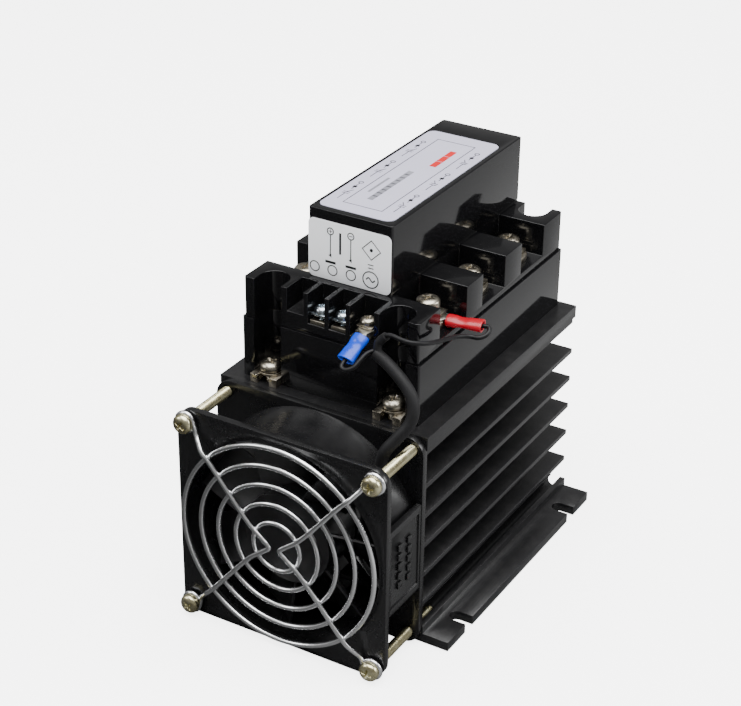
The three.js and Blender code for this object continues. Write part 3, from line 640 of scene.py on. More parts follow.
FINISHES = (
    Finish("anodised_black", (0.0035, 0.0035, 0.004), (0.009, 0.009, 0.010), (0.24, 0.36),
           specular=0.55, streak=Axis.Y, streak_scale=1100.0, streak_bump=0.35, bump=0.25,
           dust=0.10),
    Finish("case_black", (0.0025, 0.0025, 0.003), (0.0045, 0.0045, 0.005), (0.05, 0.11),
           specular=0.45, grain=2200.0, bump=0.02, mottle=45.0, dust=0.03),
    Finish("fan_black", (0.003, 0.003, 0.0035), (0.006, 0.006, 0.0065), (0.22, 0.34),
           grain=1800.0, bump=0.08, dust=0.05),
    Finish("rotor_black", (0.004, 0.004, 0.0045), (0.008, 0.008, 0.009), (0.3, 0.42),
           grain=1600.0, bump=0.1),
    Finish("guard_chrome", (0.90, 0.91, 0.92), (0.97, 0.97, 0.98), (0.20, 0.30), metallic=1.0,
           grain=900.0, bump=0.04),
    Finish("yellow_zinc", (0.58, 0.51, 0.28), (0.78, 0.75, 0.52), (0.22, 0.34), metallic=1.0,
           mottle=260.0, contrast=3.0, bump=0.12),
    Finish("nickel_plate", (0.30, 0.27, 0.21), (0.52, 0.48, 0.40), (0.22, 0.36), metallic=1.0,
           mottle=200.0, contrast=2.6, bump=0.12),
    Finish("blue_zinc", (0.40, 0.47, 0.52), (0.66, 0.72, 0.76), (0.18, 0.30), metallic=1.0,
           mottle=220.0, contrast=2.4, bump=0.10),
    Finish("tinned_copper", (0.42, 0.40, 0.35), (0.60, 0.58, 0.52), (0.26, 0.40), metallic=1.0,
           mottle=240.0, bump=0.14),
    Finish("polished_steel", (0.40, 0.41, 0.42), (0.58, 0.59, 0.60), (0.14, 0.24), metallic=1.0,
           streak=Axis.Y, bump=0.06),
    Finish("sintered_bronze", (0.26, 0.17, 0.07), (0.40, 0.28, 0.13), (0.38, 0.52), metallic=0.9,
           grain=1200.0, pits=0.9, bump=0.3),
    Finish("bonded_magnet", (0.030, 0.028, 0.026), (0.055, 0.052, 0.048), (0.6, 0.75), bump=0.3),
    Finish("lamination_steel", (0.13, 0.13, 0.14), (0.24, 0.24, 0.25), (0.38, 0.5), metallic=0.9,
           bump=0.2),
    Finish("white_ceramic", (0.70, 0.69, 0.65), (0.82, 0.81, 0.77), (0.5, 0.62), bump=0.15),
    Finish("circuit_board", (0.010, 0.075, 0.030), (0.016, 0.110, 0.045), (0.32, 0.42),
           streak=Axis.X, bump=0.1),
    Finish("moulded_epoxy", (0.014, 0.014, 0.015), (0.024, 0.024, 0.025), (0.5, 0.62), pits=0.8,
           bump=0.25),
    Finish("transformer_tape", (0.36, 0.20, 0.02), (0.50, 0.30, 0.05), (0.3, 0.42), streak=Axis.X,
           bump=0.15),
    Finish("capacitor_sleeve", (0.010, 0.016, 0.050), (0.016, 0.026, 0.080), (0.25, 0.35),
           bump=0.08),
    Finish("label_silver", (0.46, 0.45, 0.56), (0.52, 0.51, 0.62), (0.34, 0.42), specular=0.4,
           mottle=30.0, contrast=1.2, grain=3000.0, bump=0.04),
    Finish("label_white", (0.84, 0.85, 0.88), (0.90, 0.91, 0.93), (0.30, 0.38), specular=0.45,
           mottle=30.0, contrast=1.2, grain=3000.0, bump=0.04),
    Finish("print_ink", (0.004, 0.004, 0.005), (0.008, 0.008, 0.010), (0.45, 0.55), grain=2600.0,
           bump=0.05),
    Finish("print_red", (0.50, 0.008, 0.010), (0.60, 0.014, 0.014), (0.4, 0.5), grain=2600.0,
           bump=0.05),
    Finish("print_grey", (0.18, 0.18, 0.21), (0.26, 0.26, 0.30), (0.45, 0.55), grain=2600.0,
           bump=0.05),
    Finish("lead_jacket", (0.005, 0.005, 0.0055), (0.009, 0.009, 0.010), (0.5, 0.65),
           specular=0.25, grain=1400.0, bump=0.2, mottle=120.0, dust=0.05),
    Finish("core_black", (0.003, 0.003, 0.0035), (0.006, 0.006, 0.007), (0.38, 0.5),
           specular=0.25, grain=2400.0, bump=0.1),
    Finish("red_vinyl", (0.30, 0.0008, 0.007), (0.42, 0.002, 0.013), (0.24, 0.36), mottle=180.0,
           grain=900.0, bump=0.1),
    Finish("blue_vinyl", (0.0006, 0.036, 0.46), (0.0015, 0.066, 0.66), (0.24, 0.36), mottle=180.0,
           grain=900.0, bump=0.1),
)
MATERIALS: dict[str, Material] = {}


def make_materials() -> None:
    """Builds the shader groups and every finish."""
    GROUPS["mottle"] = mottle_group()
    GROUPS["grain"] = grain_group()
    GROUPS["dust"] = dust_group()
    for axis in Axis:
        GROUPS[f"streaks_{axis.name.lower()}"] = streak_group(axis)
    for finish in FINISHES:
        MATERIALS[finish.name] = finish.build()


def dress_frame() -> None:
    """Gives every CAD node the material of its slot."""
    for part in frame["record"]["subparts"]:
        node = frame["nodes"][part["node"]]
        node.data.materials.clear()
        node.data.materials.append(MATERIALS[part["material_slot"]])


# ---- sub-assemblies


@dataclass
class Piece:
    """A finished mesh, with how it is dressed."""

    obj: Thing
    slot: str
    nodes: tuple[str, ...] = ()
    body: Body = Body.CHASSIS
    ink: str = ""


@dataclass
class Assembly:
    """What every sub-assembly does: `build` makes its meshes and `dress` finishes them."""

    pieces: list[Piece] = field(default_factory=list, kw_only=True)

    def keep(
        self,
        obj: Thing,
        slot: str,
        *nodes: str,
        body: Body = Body.CHASSIS,
        ink: str = "",
    ) -> None:
        """Notes a finished mesh.

        Args:
            obj: the mesh's object, in place.
            slot: the record's name for its finish.
            nodes: the CAD nodes that it stands for.
            body: the body that it moves with.
            ink: the finish that it shows, where that isn't the slot's own.
        """
        self.pieces.append(Piece(obj, slot, nodes, body, ink or slot))

    def dress(self) -> None:
        """Gives each mesh its material and ties it to the part."""
        for piece in self.pieces:
            piece.obj.data.materials.clear()
            piece.obj.data.materials.append(MATERIALS[piece.ink])
            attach(piece.obj, piece.body.value)
            if piece.nodes:
                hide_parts(*piece.nodes)
            LOG.info("%s on %s", piece.obj.name, piece.body.value)


# ---- screws


USUAL_RIM = 0.42  # the share of a head's height that is straight


@dataclass(frozen=True)
class PanScrew:
    """A pan head screw with a cross recess, head up, its head's underside at the origin."""

    head_r: float
    head_h: float
    shank_r: float
    shank_l: float
    pitch: float = 0.7
    sides: int = 40
    washers: tuple[tuple[float, float, bool], ...] = ()
    rim: float = USUAL_RIM

    def head(self) -> Thing:
        """The head, domed by insets and cut by the recess."""
        rim = self.head_h * self.rim
        head = disc("screw_head", self.head_r, rim, rim / 2, self.sides)
        edit(head)
        pick_faces(head, lambda face: face.normal.z > ALONG)
        dome = (1 - self.rim) / (1 - USUAL_RIM) * self.head_h
        for inset, lift in ((0.07, 0.20), (0.10, 0.16), (0.16, 0.13), (0.22, 0.09)):
            bpy.ops.mesh.inset(thickness=inset * self.head_r * MM)
            bpy.ops.transform.translate(value=(0, 0, lift * dome * MM))
        done()
        cutter = self.cutter()
        recess = head.modifiers.new("recess", "BOOLEAN")
        recess.operation = "DIFFERENCE"
        recess.object = cutter
        apply_all(head)
        dropped(cutter)
        round_edges(head, 0.07 * self.head_r / 4, 2, 38.0)
        return head

    @staticmethod
    def arm_end(face: bmesh.types.BMFace, x: int, y: int, slack: float) -> bool:
        """Whether a face looks along (x, y) and lies on the line through the middle."""
        middle = face.calc_center_median()
        looks = face.normal.x * x + face.normal.y * y > ALONG
        return looks and abs(middle.x * y) + abs(middle.y * x) < slack

    def cutter(self) -> Thing:
        """The tapered cross that makes the recess."""
        wide = self.head_r * 0.25 * MM
        deep = self.head_h * 0.62 * MM
        top = self.head_h * 1.05 * MM
        cutter = block("recess_cutter", (wide, wide, deep), (0, 0, top - deep / 2))
        reach = self.head_r * 0.46 * MM
        for x, y in ((1, 0), (-1, 0), (0, 1), (0, -1)):
            edit(cutter)
            pick_faces(cutter, lambda face, x=x, y=y: self.arm_end(face, x, y, wide / 4))
            pull(x * reach, y * reach, 0)
            done()
        edit(cutter)
        pick_faces(cutter, lambda face: face.normal.z < -ALONG)
        grow(0.42, 0.42, 1)
        done()
        return cutter

    def shank(self) -> Thing:
        """The threaded shank: one ridge, repeated down its length."""
        turns = max(int(self.shank_l / self.pitch), 1)
        pitch = self.shank_l / turns
        core = self.shank_r * 0.84
        deselect()
        bpy.ops.mesh.primitive_circle_add(vertices=20, radius=core * MM, fill_type="NOTHING")
        shank = named("screw_shank")
        edit_all(shank)
        crest = self.shank_r * 0.99
        for share in (crest / core, core / crest):
            pull(0, 0, -pitch / 2 * MM)
            grow(share, share, 1)
        done()
        rows = shank.modifiers.new("turns", "ARRAY")
        rows.count = turns
        rows.use_relative_offset = False
        rows.use_constant_offset = True
        rows.constant_offset_displace = (0, 0, -pitch * MM)
        rows.use_merge_vertices = True
        rows.merge_threshold = 1e-6
        apply_all(shank)
        edit_all(shank)
        bpy.ops.mesh.fill_holes(sides=0)
        done()
        outward(shank)
        smooth(shank, 25.0)
        return shank

    def washer(self, half: float, thick: float, square: bool, top: float) -> Thing:
        """One washer under the head.

        Args:
            half: its radius or half its width, in millimetres.
            thick: its thickness.
            square: whether it is square.
            top: the height of its upper face.

        Returns:
            The washer.
        """
        middle = top - thick / 2
        if square:
            size = (2 * half * MM, 2 * half * MM, thick * MM)
            plate = block("washer", size, (0, 0, middle * MM))
        else:
            plate = disc("washer", half, thick, middle, self.sides)
        round_edges(plate, 0.16, 2, 40.0)
        return plate

    def build(self, name: str) -> Thing:
        """Makes the whole screw.

        Args:
            name: its name.

        Returns:
            One object at the origin, head up.
        """
        pieces = [self.head(), self.shank()]
        top = 0.0
        for half, thick, square in self.washers:
            pieces.append(self.washer(half, thick, square, top))
            top -= thick
        return joined(name, pieces)


# ---- module


@dataclass
class Module(Assembly):
    """The black housings, their screws and terminals."""

    rounding: float = 0.35
    mount_x: float = 23.75
    mount_y: tuple[float, float] = (6.4, 106.35)
    mount_seat: float = 84.25
    mount_screw: PanScrew = PanScrew(
        3.8, 2.8, 1.95, 7.3, 0.7, 40, ((3.0, 0.45, False), (4.1, 0.7, False))
    )
    power_x: float = 23.5
    power_y: tuple[float, ...] = (28.0, 56.25, 85.0)
    power_seat: float = 108.95
    power_screw: PanScrew = PanScrew(
        4.0, 4.4, 2.45, 7.8, 0.8, 44, ((4.0, 0.8, False), (4.75, 1.05, True)), 0.76
    )
    control_x: tuple[float, ...] = (-5.1, 2.9, 12.15)
    control_y: float = 9.25
    control_seat: float = 109.15
    control_screw: PanScrew = PanScrew(2.8, 2.2, 1.45, 4.8, 0.5, 32, ((2.85, 0.7, True),))
    red_fork_t: float = 0.8
    blue_fork_t: float = 0.45

    def build(self) -> None:
        """Builds every piece of the module."""
        self.housings()
        self.mounting()
        self.power_terminals()
        self.control_terminals()

    def housings(self) -> None:
        """The two halves and the cover, with moulded edges."""
        for node in ("lower_housing", "upper_housing", "cover"):
            self.keep(refined(node, self.rounding, 3), "case_black", node)

    def mounting(self) -> None:
        """The plate under the module and its four screws."""
        self.keep(refined("base_plate", 0.2, 2), "nickel_plate", "base_plate")
        master = self.mount_screw.build("mounting_screw_master")
        n = 0
        for y in self.mount_y:
            for side in (-1, 1):
                n += 1
                move = at(side * self.mount_x, y, self.mount_seat) @ turn(25 + 31 * n, "Z")
                copy = stamped(master, f"mounting_screw_{n}_finished", move)
                self.keep(copy, "nickel_plate", f"mounting_screw_{n}")
        dropped(master)

    def power_terminals(self) -> None:
        """Six bars with their clamp screws."""
        master = self.power_screw.build("power_screw_master")
        n = 0
        for side in (1, -1):
            for y in self.power_y:
                n += 1
                lift = self.red_fork_t if n == 1 else 0.0
                move = at(side * self.power_x, y, self.power_seat + lift)
                copy = stamped(master, f"power_screw_{n}_finished", move)
                self.keep(copy, "nickel_plate", f"power_screw_{n}")
                bar = refined(f"power_terminal_{n}", 0.2, 2)
                self.keep(bar, "nickel_plate", f"power_terminal_{n}")
        dropped(master)

    def control_terminals(self) -> None:
        """Three small clamp screws on their plates."""
        master = self.control_screw.build("control_screw_master")
        for i, x in enumerate(self.control_x):
            forked = i == 2
            under = self.control_seat + (self.blue_fork_t if forked else 0.0)
            move = at(x, self.control_y, under)
            copy = stamped(master, f"control_screw_{i + 1}_finished", move)
            slot = "nickel_plate" if forked else "blue_zinc"
            self.keep(copy, slot, f"control_screw_{i + 1}")
            plate = refined(f"control_terminal_{i + 1}", 0.15, 2)
            self.keep(plate, "nickel_plate", f"control_terminal_{i + 1}")
        dropped(master)


# ---- labels


@dataclass
class Printing:
    """Flat strokes on a label, which lie a hair above it."""

    plane: str
    level: float
    thick: float = 0.03
    made: list[Thing] = field(default_factory=list)

    def stand(self, obj: Thing) -> None:
        """Moves a stroke drawn in X and Y onto the label."""
        if self.plane == "front":
            move = Matrix.Translation(Vector((0, (self.level - MIDDLE_Y) * MM, 0))) @ turn(90, "X")
        else:
            move = Matrix.Translation(Vector((0, -MIDDLE_Y * MM, self.level * MM)))
        settle(obj, move)
        self.made.append(obj)

    def bar(self, x0: float, y0: float, x1: float, y1: float, width: float = 0.22) -> None:
        """A straight stroke between two places."""
        length = math.hypot(x1 - x0, y1 - y0)
        deselect()
        bpy.ops.mesh.primitive_cube_add(size=1.0)
        stroke = named("stroke")
        stroke.scale = ((length + width) * MM, width * MM, self.thick * MM)
        stroke.rotation_euler = (0, 0, math.atan2(y1 - y0, x1 - x0))
        stroke.location = ((x0 + x1) / 2 * MM, (y0 + y1) / 2 * MM, 0)
        self.stand(stroke)

    def ring(self, x: float, y: float, radius: float, width: float = 0.24, sides: int = 48) -> None:
        """A round stroke."""
        deselect()
        bpy.ops.mesh.primitive_circle_add(vertices=sides, radius=(radius - width / 2) * MM)
        stroke = named("stroke")
        edit_all(stroke)
        share = (radius + width / 2) / (radius - width / 2)
        pull(0, 0, 0)
        grow(share, share, 1)
        done()
        wall = stroke.modifiers.new("ink", "SOLIDIFY")
        wall.thickness = self.thick * MM
        wall.offset = 0.0
        apply_all(stroke)
        outward(stroke)
        stroke.location = (x * MM, y * MM, 0)
        self.stand(stroke)

    def solid(self, x: float, y: float, radius: float, sides: int, degrees: float = 0.0) -> None:
        """A filled disc or arrow head."""
        stroke = disc("stroke", radius, self.thick, 0, sides)
        stroke.rotation_euler = (0, 0, math.radians(degrees))
        stroke.location = (x * MM, y * MM, 0)
        self.stand(stroke)

    def finish(self, name: str) -> Thing:
        """Joins the strokes into one piece."""
        return joined(name, self.made)


@dataclass
class Labels(Assembly):
    """The front plate and the top foil, with plain marks in place of words."""

    front_y: float = 17.07
    top_z: float = 140.97
    foil_low: float = 0.06

    def build(self) -> None:
        """Builds both labels' printing, and the top foil under it."""
        self.front()
        self.foil()
        self.top()

    def foil(self) -> None:
        """The top foil, a hair thinner, so that its print stays under the part's highest level."""
        foil = clean_copy("top_label")
        edit(foil)
        pick_faces(foil, lambda face: face.normal.z > ALONG)
        bpy.ops.transform.translate(value=(0, 0, -self.foil_low * MM))
        done()
        smooth(foil)
        self.keep(foil, "label_silver", "top_label")

    def front(self) -> None:
        """Terminal circles, two arrows, plus, minus and a wave."""
        ink = Printing("front", self.front_y)
        for x in (-13.1, -6.3, 0.7):
            ink.ring(x, 120.4, 1.75, 0.36)
        ink.ring(8.1, 120.7, 2.85, 0.4)
        wave = [
            (8.1 + t * 0.15, 120.7 - 0.6 * math.sin(t * math.pi / 10.0))
            for t in range(-10, 11)
        ]
        for (x0, y0), (x1, y1) in zip(wave, wave[1:]):
            ink.bar(x0, y0, x1, y1, 0.42)
        for x, top, plus in ((-7.1, 134.2, True), (0.6, 134.2, False)):
            ink.ring(x, top, 1.15, 0.34)
            ink.bar(x - 0.6, top, x + 0.6, top, 0.22)
            if plus:
                ink.bar(x, top - 0.6, x, top + 0.6, 0.22)
            ink.bar(x, top - 1.4, x, 125.9, 0.34)
            ink.solid(x, 125.6, 0.75, 3, -30.0)
            for k in range(3):
                ink.bar(x - 1.5 + 1.25 * k, 123.2, x - 0.9 + 1.25 * k, 123.2, 0.85)
        for k in range(6):
            ink.bar(-3.4, 127.2 + 1.25 * k, -3.4, 127.75 + 1.25 * k, 0.75)
        ink.bar(7.2, 124.8, 9.0, 124.8, 0.3)
        ink.bar(7.2, 126.0, 9.0, 126.0, 0.3)
        ink.ring(8.3, 131.2, 3.4, 0.42, 4)
        ink.solid(8.3, 131.2, 0.6, 24)
        self.keep(ink.finish("front_label_print"), "label_white", ink="print_ink")

    def top(self) -> None:
        """A thin frame, small circuit marks beside it and blocks in place of words."""
        ink = Printing("top", self.top_z)
        x0, x1, y0, y1 = -8.0, 6.6, 26.3, 90.0
        for ends in ((x0, y0, x1, y0), (x1, y0, x1, y1), (x1, y1, x0, y1), (x0, y1, x0, y0)):
            ink.bar(*ends, 0.26)
        for x, side in ((-11.2, 1), (10.0, -1)):
            for start in (28.0, 49.0, 70.0):
                ink.bar(x, start, x, start + 4.6, 0.26)
                ink.bar(x - 1.1, start + 4.8, x + 1.1, start + 4.8, 0.3)
                ink.bar(x - 1.1, start + 5.9, x + 1.1, start + 5.9, 0.3)
                ink.bar(x, start + 6.2, x + side * 1.2, start + 8.2, 0.26)
                ink.bar(x, start + 9.0, x, start + 14.0, 0.26)
                ink.solid(x, start + 11.0, 0.95, 4, 45.0)
                ink.ring(x, start + 15.0, 0.8, 0.3, 24)
        self.keep(ink.finish("top_label_print"), "label_silver", ink="print_ink")
        words = Printing("top", self.top_z)
        for k in range(9):
            words.bar(-1.6, 33.5 + 3.0 * k, -1.6, 34.9 + 3.0 * k, 2.1)
        for k in range(8):
            words.bar(-5.2, 38.0 + 1.7 * k, -5.2, 38.8 + 1.7 * k, 0.9)
        self.keep(words.finish("top_label_words"), "label_silver", ink="print_grey")
        badge = Printing("top", self.top_z)
        for k in range(3):
            badge.bar(2.2, 68.5 + 5.2 * k, 2.2, 71.0 + 5.2 * k, 2.4)
        self.keep(badge.finish("top_label_badge"), "label_silver", ink="print_red")


# ---- heatsink, fan and guard


@dataclass
class Cooling(Assembly):
    """The finned extrusion, the fan in front of it and the fan's wire guard."""

    centre_z: float = 40.0
    hole: float = 35.75
    wire_r: float = 0.9
    eye_r: float = 3.25
    rings: tuple[float, ...] = (9.0, 16.0, 23.0, 30.0, 37.0)
    eye_y: float = -26.15
    ring_y: float = -27.25
    spoke_y: float = -28.75
    seat_y: float = -27.3
    long_screw: PanScrew = PanScrew(3.45, 2.45, 1.95, 39.8, 0.7, 40)
    bar_rows: tuple[float, ...] = (-15.5, -9.5)
    bar_z: tuple[float, float] = (31.0, 49.0)
    bar_x: float = 39.6
    bar_size: Point = (0.5, 2.6, 2.4)

    def build(self) -> None:
        """Builds the cooling pieces."""
        self.keep(refined("heatsink", 0.22, 2), "anodised_black", "heatsink")
        fan = joined("fan_frame_finished", [refined("fan_frame", 0.4, 2), *self.side_bars()])
        self.keep(fan, "fan_black", "fan_frame")
        self.keep(refined("fan_rotor", 0.25, 2), "rotor_black", "fan_rotor", body=Body.ROTOR)
        self.guard()
        self.screws()

    def spoke(self, side: int) -> Thing:
        """One bent wire: an eye, a V to the middle and another eye.

        Args:
            side: -1 for the left wire and 1 for the right one.

        Returns:
            The wire.
        """
        half: list[Point] = []
        for degrees in (200, 245, 290, 335, 380, 425, 470):
            angle = math.radians(degrees + 15)
            x = self.hole + self.eye_r * math.cos(angle)
            half.append((x, self.eye_y, self.hole + self.eye_r * math.sin(angle)))
        stem = self.hole - self.eye_r * 1.05
        half.append((stem - 0.6, self.eye_y - 0.1, stem + 0.4))
        half.append((stem - 2.4, (self.eye_y + self.spoke_y) / 2, stem - 2))
        half.append((stem - 4.6, self.spoke_y, stem - 4.6))
        half.append((stem - 7, self.spoke_y, stem - 7))
        half.append((9.3, self.spoke_y, 6.3))
        half.append((4.5, self.spoke_y, 2.4))
        upper = [(side * x, y, self.centre_z + up) for x, y, up in half]
        lower = [(side * x, y, self.centre_z - up) for x, y, up in reversed(half)]
        points = [*upper, (side * 2.1, self.spoke_y, self.centre_z), *lower]
        return round_wire(f"guard_wire_{side}", rounded_path(points, 7), self.wire_r)

    def side_bars(self) -> list[Thing]:
        """Plain raised bars in the recess of each side panel, in place of moulded words."""
        bars = []
        low, high = self.bar_z
        for side in (-1, 1):
            for y in self.bar_rows:
                for k in range(5):
                    middle = spot(side * self.bar_x, y, low + (high - low) * (k + 0.5) / 5)
                    bar = block("raised_bar", Vector(self.bar_size) * MM, middle)
                    round_edges(bar, 0.12, 2, 40.0)
                    bars.append(bar)
        return bars

    def guard(self) -> None:
        """Five rings behind two bent wires."""
        pieces = [self.spoke(-1), self.spoke(1)]
        for i, radius in enumerate(self.rings):
            deselect()
            bpy.ops.mesh.primitive_torus_add(
                major_radius=radius * MM,
                minor_radius=self.wire_r * MM,
                major_segments=64 + 16 * i,
                minor_segments=16,
                rotation=(math.pi / 2, 0, 0),
                location=spot(0, self.ring_y, self.centre_z),
            )
            ring = named(f"guard_ring_{i}")
            settle(ring)
            smooth(ring, 60.0)
            pieces.append(ring)
        self.keep(joined("finger_guard_finished", pieces), "guard_chrome", "finger_guard")

    def screws(self) -> None:
        """Four long screws through the guard's eyes and the fan's corners."""
        master = self.long_screw.build("fan_screw_master")
        n = 0
        for up in (1, -1):
            for side in (-1, 1):
                n += 1
                move = at(side * self.hole, self.seat_y, self.centre_z + up * self.hole)
                turned = move @ turn(90, "X") @ turn(20 + 37 * n, "Z")
                copy = stamped(master, f"fan_screw_{n}_finished", turned)
                self.keep(copy, "yellow_zinc", f"fan_screw_{n}")
        dropped(master)


# ---- lead


@dataclass(frozen=True)
class Sleeve:
    """A flattened vinyl sleeve over a crimped barrel, drawn along +X, open at its far end.

    Each step is a share of the length, and how much wider and higher the sleeve grows over it.
    """

    length: float
    width: float
    height: float
    wall: float
    steps: tuple[Point, ...] = (
        (0.03, 1.08, 1.08), (0.13, 1.02, 1.0), (0.12, 0.98, 0.96), (0.05, 0.96, 0.80),
        (0.10, 0.99, 0.96), (0.12, 1.01, 1.02), (0.05, 1.06, 1.22), (0.14, 1.0, 1.02),
        (0.13, 1.03, 1.05), (0.11, 1.04, 1.06), (0.02, 0.98, 0.98),
    )

    def build(self, name: str) -> Thing:
        """Makes the sleeve.

        Args:
            name: its name.

        Returns:
            The sleeve at the origin.
        """
        deselect()
        bpy.ops.mesh.primitive_circle_add(vertices=32, radius=0.5, rotation=(0, math.pi / 2, 0))
        sleeve = named(name)
        sleeve.scale = (self.height * MM, self.width * MM, 1)
        settle(sleeve)
        edit_all(sleeve)
        grow(1, 0.90, 0.90)
        for share, wider, higher in self.steps:
            pull(share * self.length * MM, 0, 0)
            grow(1, wider, higher)
        done()
        outward(sleeve)
        skin = sleeve.modifiers.new("wall", "SOLIDIFY")
        skin.thickness = self.wall * MM
        skin.offset = -1.0
        finer = sleeve.modifiers.new("finer", "SUBSURF")
        finer.levels = 1
        finer.render_levels = 1
        apply_all(sleeve)
        smooth(sleeve, 60.0)
        return sleeve


@dataclass
class Lead(Assembly):
    """The fan's lead, its two cores, and the fork terminals at their ends."""

    jacket: tuple[Point, ...] = (
        (29.4, -12.2, 70), (30, -12.1, 74), (31.2, -11.6, 78.5), (34.2, -9.2, 83.2),
        (36.8, -6.6, 87.4), (37.2, -4.8, 91.6), (35.5, -3.4, 95.8), (31, -2.2, 100),
        (25.6, -1.2, 103.4), (20.7, -0.6, 105.9),
    )
    branch: tuple[Point, ...] = (
        (22.8, -0.8, 104.9), (21.4, -0.4, 107), (21.4, 0, 109.2), (22.7, 0.2, 111),
        (24, 0.2, 112.3),
    )
    to_red: tuple[Point, ...] = (
        (24, 0.2, 112.2), (24.6, 0.2, 112.8), (26.4, 0.1, 113.1), (29.6, -0.3, 112.9),
        (33, 0, 112.6), (36, 3.6, 111.6), (36.6, 9.6, 109.5), (36.8, 16.6, 107.5),
        (37.6, 23, 105.8), (40, 26.4, 104.9), (42.8, 27, 104.9), (44.5, 28.6, 105.5),
        (44.8, 30.6, 106.4), (43.8, 31.9, 106.95), (42.1, 31.65, 106.95), (40.4, 31.3, 106.95),
    )
    to_blue: tuple[Point, ...] = (
        (21.4, -0.6, 105.9), (20, -0.6, 106.2), (18.4, -2.4, 105.5), (17.5, -5, 104),
        (16.6, -7.2, 102.4), (14.4, -8.6, 101.5), (12.7, -8.1, 101.9), (12.5, -7, 102.55),
        (12.68, -5.9, 103.2), (12.8, -5, 103.75),
    )

    jacket_r: float = 2.05
    branch_r: float = 1.45
    core_r: float = 0.78
    steps: int = 8
    red_shape: Sleeve = Sleeve(12.4, 6.0, 3.9, 0.7)
    blue_shape: Sleeve = Sleeve(9.9, 6.2, 4.0, 0.65)

    def build(self) -> None:
        """Builds the lead from the fan to both terminals."""
        self.cords()
        self.sleeves()

    def cords(self) -> None:
        """The jacket with its branch, and the two cores."""
        jacket = self.cord("lead_jacket_tube", self.jacket, self.jacket_r, 24)
        branch = self.cord("lead_branch_tube", self.branch, self.branch_r, 20)
        lead = joined("lead_jacket_finished", [jacket, branch])
        self.keep(lead, "lead_jacket", "lead_jacket", "lead_branch_sleeve")
        for name, points in (("core_to_red", self.to_red), ("core_to_blue", self.to_blue)):
            core = self.cord(f"{name}_finished", points, self.core_r, 16)
            self.keep(core, "core_black", name)

    def cord(self, name: str, points: Sequence[Point], radius: float, sides: int) -> Thing:
        """One cord along its points."""
        return round_wire(name, rounded_path(points, self.steps), radius, sides)

    def sleeves(self) -> None:
        """Both fork terminals and the sleeves over their barrels."""
        red = at(23.5, 28, 107.05) @ turn(11, "Z")
        red = red @ Matrix.Translation((6.5 * MM, 0, -0.1 * MM))
        sleeve = self.red_shape.build("red_sleeve_finished")
        settle(sleeve, red)
        self.keep(sleeve, "red_vinyl", "red_sleeve")
        blue = at(12.15, 9.25, 108.05) @ turn(-75, "Z")
        blue = blue @ Matrix.Translation((7 * MM, 0, 0.375 * MM))
        sleeve = self.blue_shape.build("blue_sleeve_finished")
        settle(sleeve, blue @ turn(-23.7, "Z") @ turn(31.7, "Y"))
        self.keep(sleeve, "blue_vinyl", "blue_sleeve")
        for node in ("red_fork", "blue_fork"):
            self.keep(refined(node, 0.12, 2), "tinned_copper", node)


# ---- studio


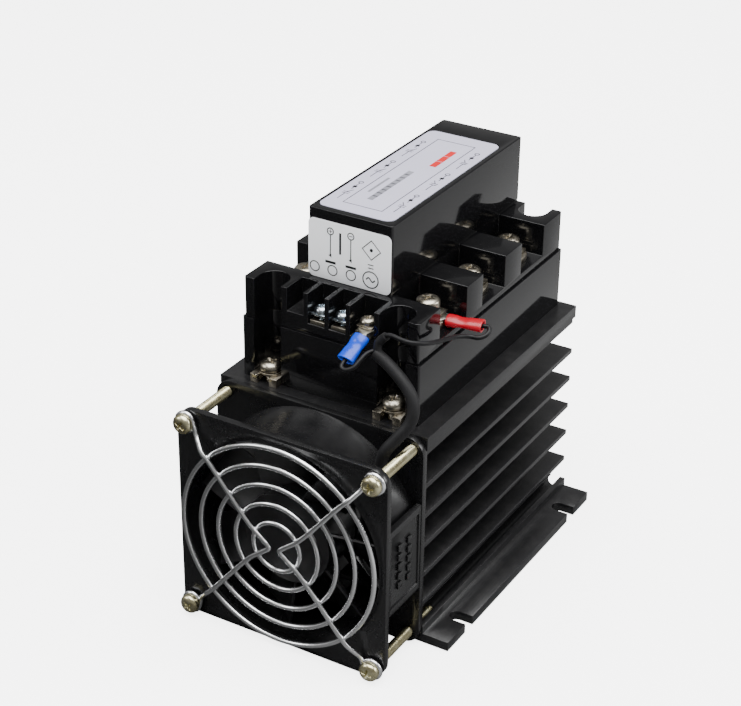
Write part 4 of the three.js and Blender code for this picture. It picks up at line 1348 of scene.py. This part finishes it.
@dataclass
class Studio:
    """The floor, the lights and the camera, which aren't part of the object."""

    camera_place: Point = (283.397, -450.249, 387.508)
    right: Point = (0.85876895, 0.51224122, 0.01117269)
    down: Point = (0.25224866, -0.40371171, -0.87942451)
    forward: Point = (-0.44596694, 0.75804076, -0.47590724)
    lens: float = 91.21
    panels: tuple[tuple[str, Point, float, float], ...] = (
        ("overhead", (0.1, -0.1, 1.5), 1.6, 62.0),
        ("right", (1.1, 0.5, 0.6), 0.6, 10.0),
        ("left", (-0.9, -0.7, 0.8), 0.5, 5.0),
    )

    def build(self) -> None:
        """Builds the studio."""
        self.camera()
        self.floor()
        self.lights()

    def camera(self) -> None:
        """The camera, level with the lens's own roll."""
        eye = bpy.data.cameras.new("camera")
        eye.lens = self.lens
        eye.sensor_width = 36.0
        eye.clip_start = 0.01
        eye.clip_end = 20.0
        camera = bpy.data.objects.new("camera", eye)
        bpy.context.scene.collection.objects.link(camera)
        axes = [Vector(self.right), -Vector(self.down), -Vector(self.forward)]
        turned = Matrix(axes).transposed().to_4x4()
        camera.matrix_world = at(*self.camera_place) @ turned
        bpy.context.scene.camera = camera

    def floor(self) -> None:
        """A plain pale floor that shows painted shade in reflections, so it mirrors duller at the
        front left than at the right: glossy rays see a dark grey, darkest at the front left, in
        place of uneven light on the floor.
        """
        deselect()
        bpy.ops.mesh.primitive_plane_add(size=8.0, location=(0, 0, -0.0002))
        floor = named("floor")
        material = bpy.data.materials.new("floor")
        material.use_nodes = True
        tree = material.node_tree
        shader = tree.nodes["Principled BSDF"]
        shader.inputs["Roughness"].default_value = 0.9
        shader.inputs["Specular IOR Level"].default_value = 0.05
        # Painted shade for glossy rays only: the floor's grey rises from 0.03 at the front left to
        # 0.26 towards the right and back, standing in for the floor being lit at the right and
        # shaded at the front left.
        place = tree.nodes.new("ShaderNodeTexCoord")
        parts = tree.nodes.new("ShaderNodeSeparateXYZ")
        tree.links.new(place.outputs["Object"], parts.inputs[0])
        behind = maths(tree, "MULTIPLY", parts.outputs["Y"], 0.5)
        across = maths(tree, "ADD", parts.outputs["X"], behind)
        rising = maths(tree, "MULTIPLY_ADD", across, 0.8, 0.12)
        painted_reflection_shade = maths(tree, "MINIMUM", maths(tree, "MAXIMUM", rising, 0.03), 0.26)
        path = tree.nodes.new("ShaderNodeLightPath")
        tone = tree.nodes.new("ShaderNodeMix")
        tone.inputs["A"].default_value = 0.88
        tree.links.new(path.outputs["Is Glossy Ray"], tone.inputs["Factor"])
        tree.links.new(painted_reflection_shade, tone.inputs["B"])
        grey = tree.nodes.new("ShaderNodeCombineColor")
        for socket in grey.inputs:
            tree.links.new(tone.outputs["Result"], socket)
        tree.links.new(grey.outputs["Color"], shader.inputs["Base Color"])
        shader.inputs["Emission Color"].default_value = (1, 1, 1, 1)
        glow = maths(tree, "MULTIPLY", path.outputs["Is Camera Ray"], 4.0)
        tree.links.new(glow, shader.inputs["Emission Strength"])
        floor.data.materials.append(material)

    def lights(self) -> None:
        """A white surround that lights little, and large soft panels."""
        world = bpy.data.worlds.new("studio")
        bpy.context.scene.world = world
        world.use_nodes = True
        tree = world.node_tree
        sky = tree.nodes["Background"]
        path = tree.nodes.new("ShaderNodeLightPath")
        seen = maths(tree, "MULTIPLY_ADD", path.outputs["Is Camera Ray"], 6.0, 0.25)
        tree.links.new(seen, sky.inputs["Strength"])
        sky.inputs["Color"].default_value = (1, 1, 1, 1)
        for name, place, size, power in self.panels:
            self.panel(name, place, size, power)

    @staticmethod
    def panel(name: str, place: Point, size: float, power: float) -> None:
        """A square light that faces the object."""
        lamp = bpy.data.lights.new(name, "AREA")
        lamp.size = size
        lamp.energy = power
        light = bpy.data.objects.new(name, lamp)
        bpy.context.scene.collection.objects.link(light)
        light.location = place
        aim = Vector((0, 0, 0.08)) - Vector(place)
        light.rotation_euler = aim.to_track_quat("-Z", "Y").to_euler()


def main() -> None:
    """Builds the camera, the materials, and each sub-assembly in order."""
    logging.basicConfig(level=logging.INFO, format="%(name)s: %(message)s")
    Studio().build()
    make_materials()
    dress_frame()
    for assembly in (Cooling(), Module(), Labels(), Lead()):
        assembly.build()
        assembly.dress()


if __name__ == "__main__":
    main()
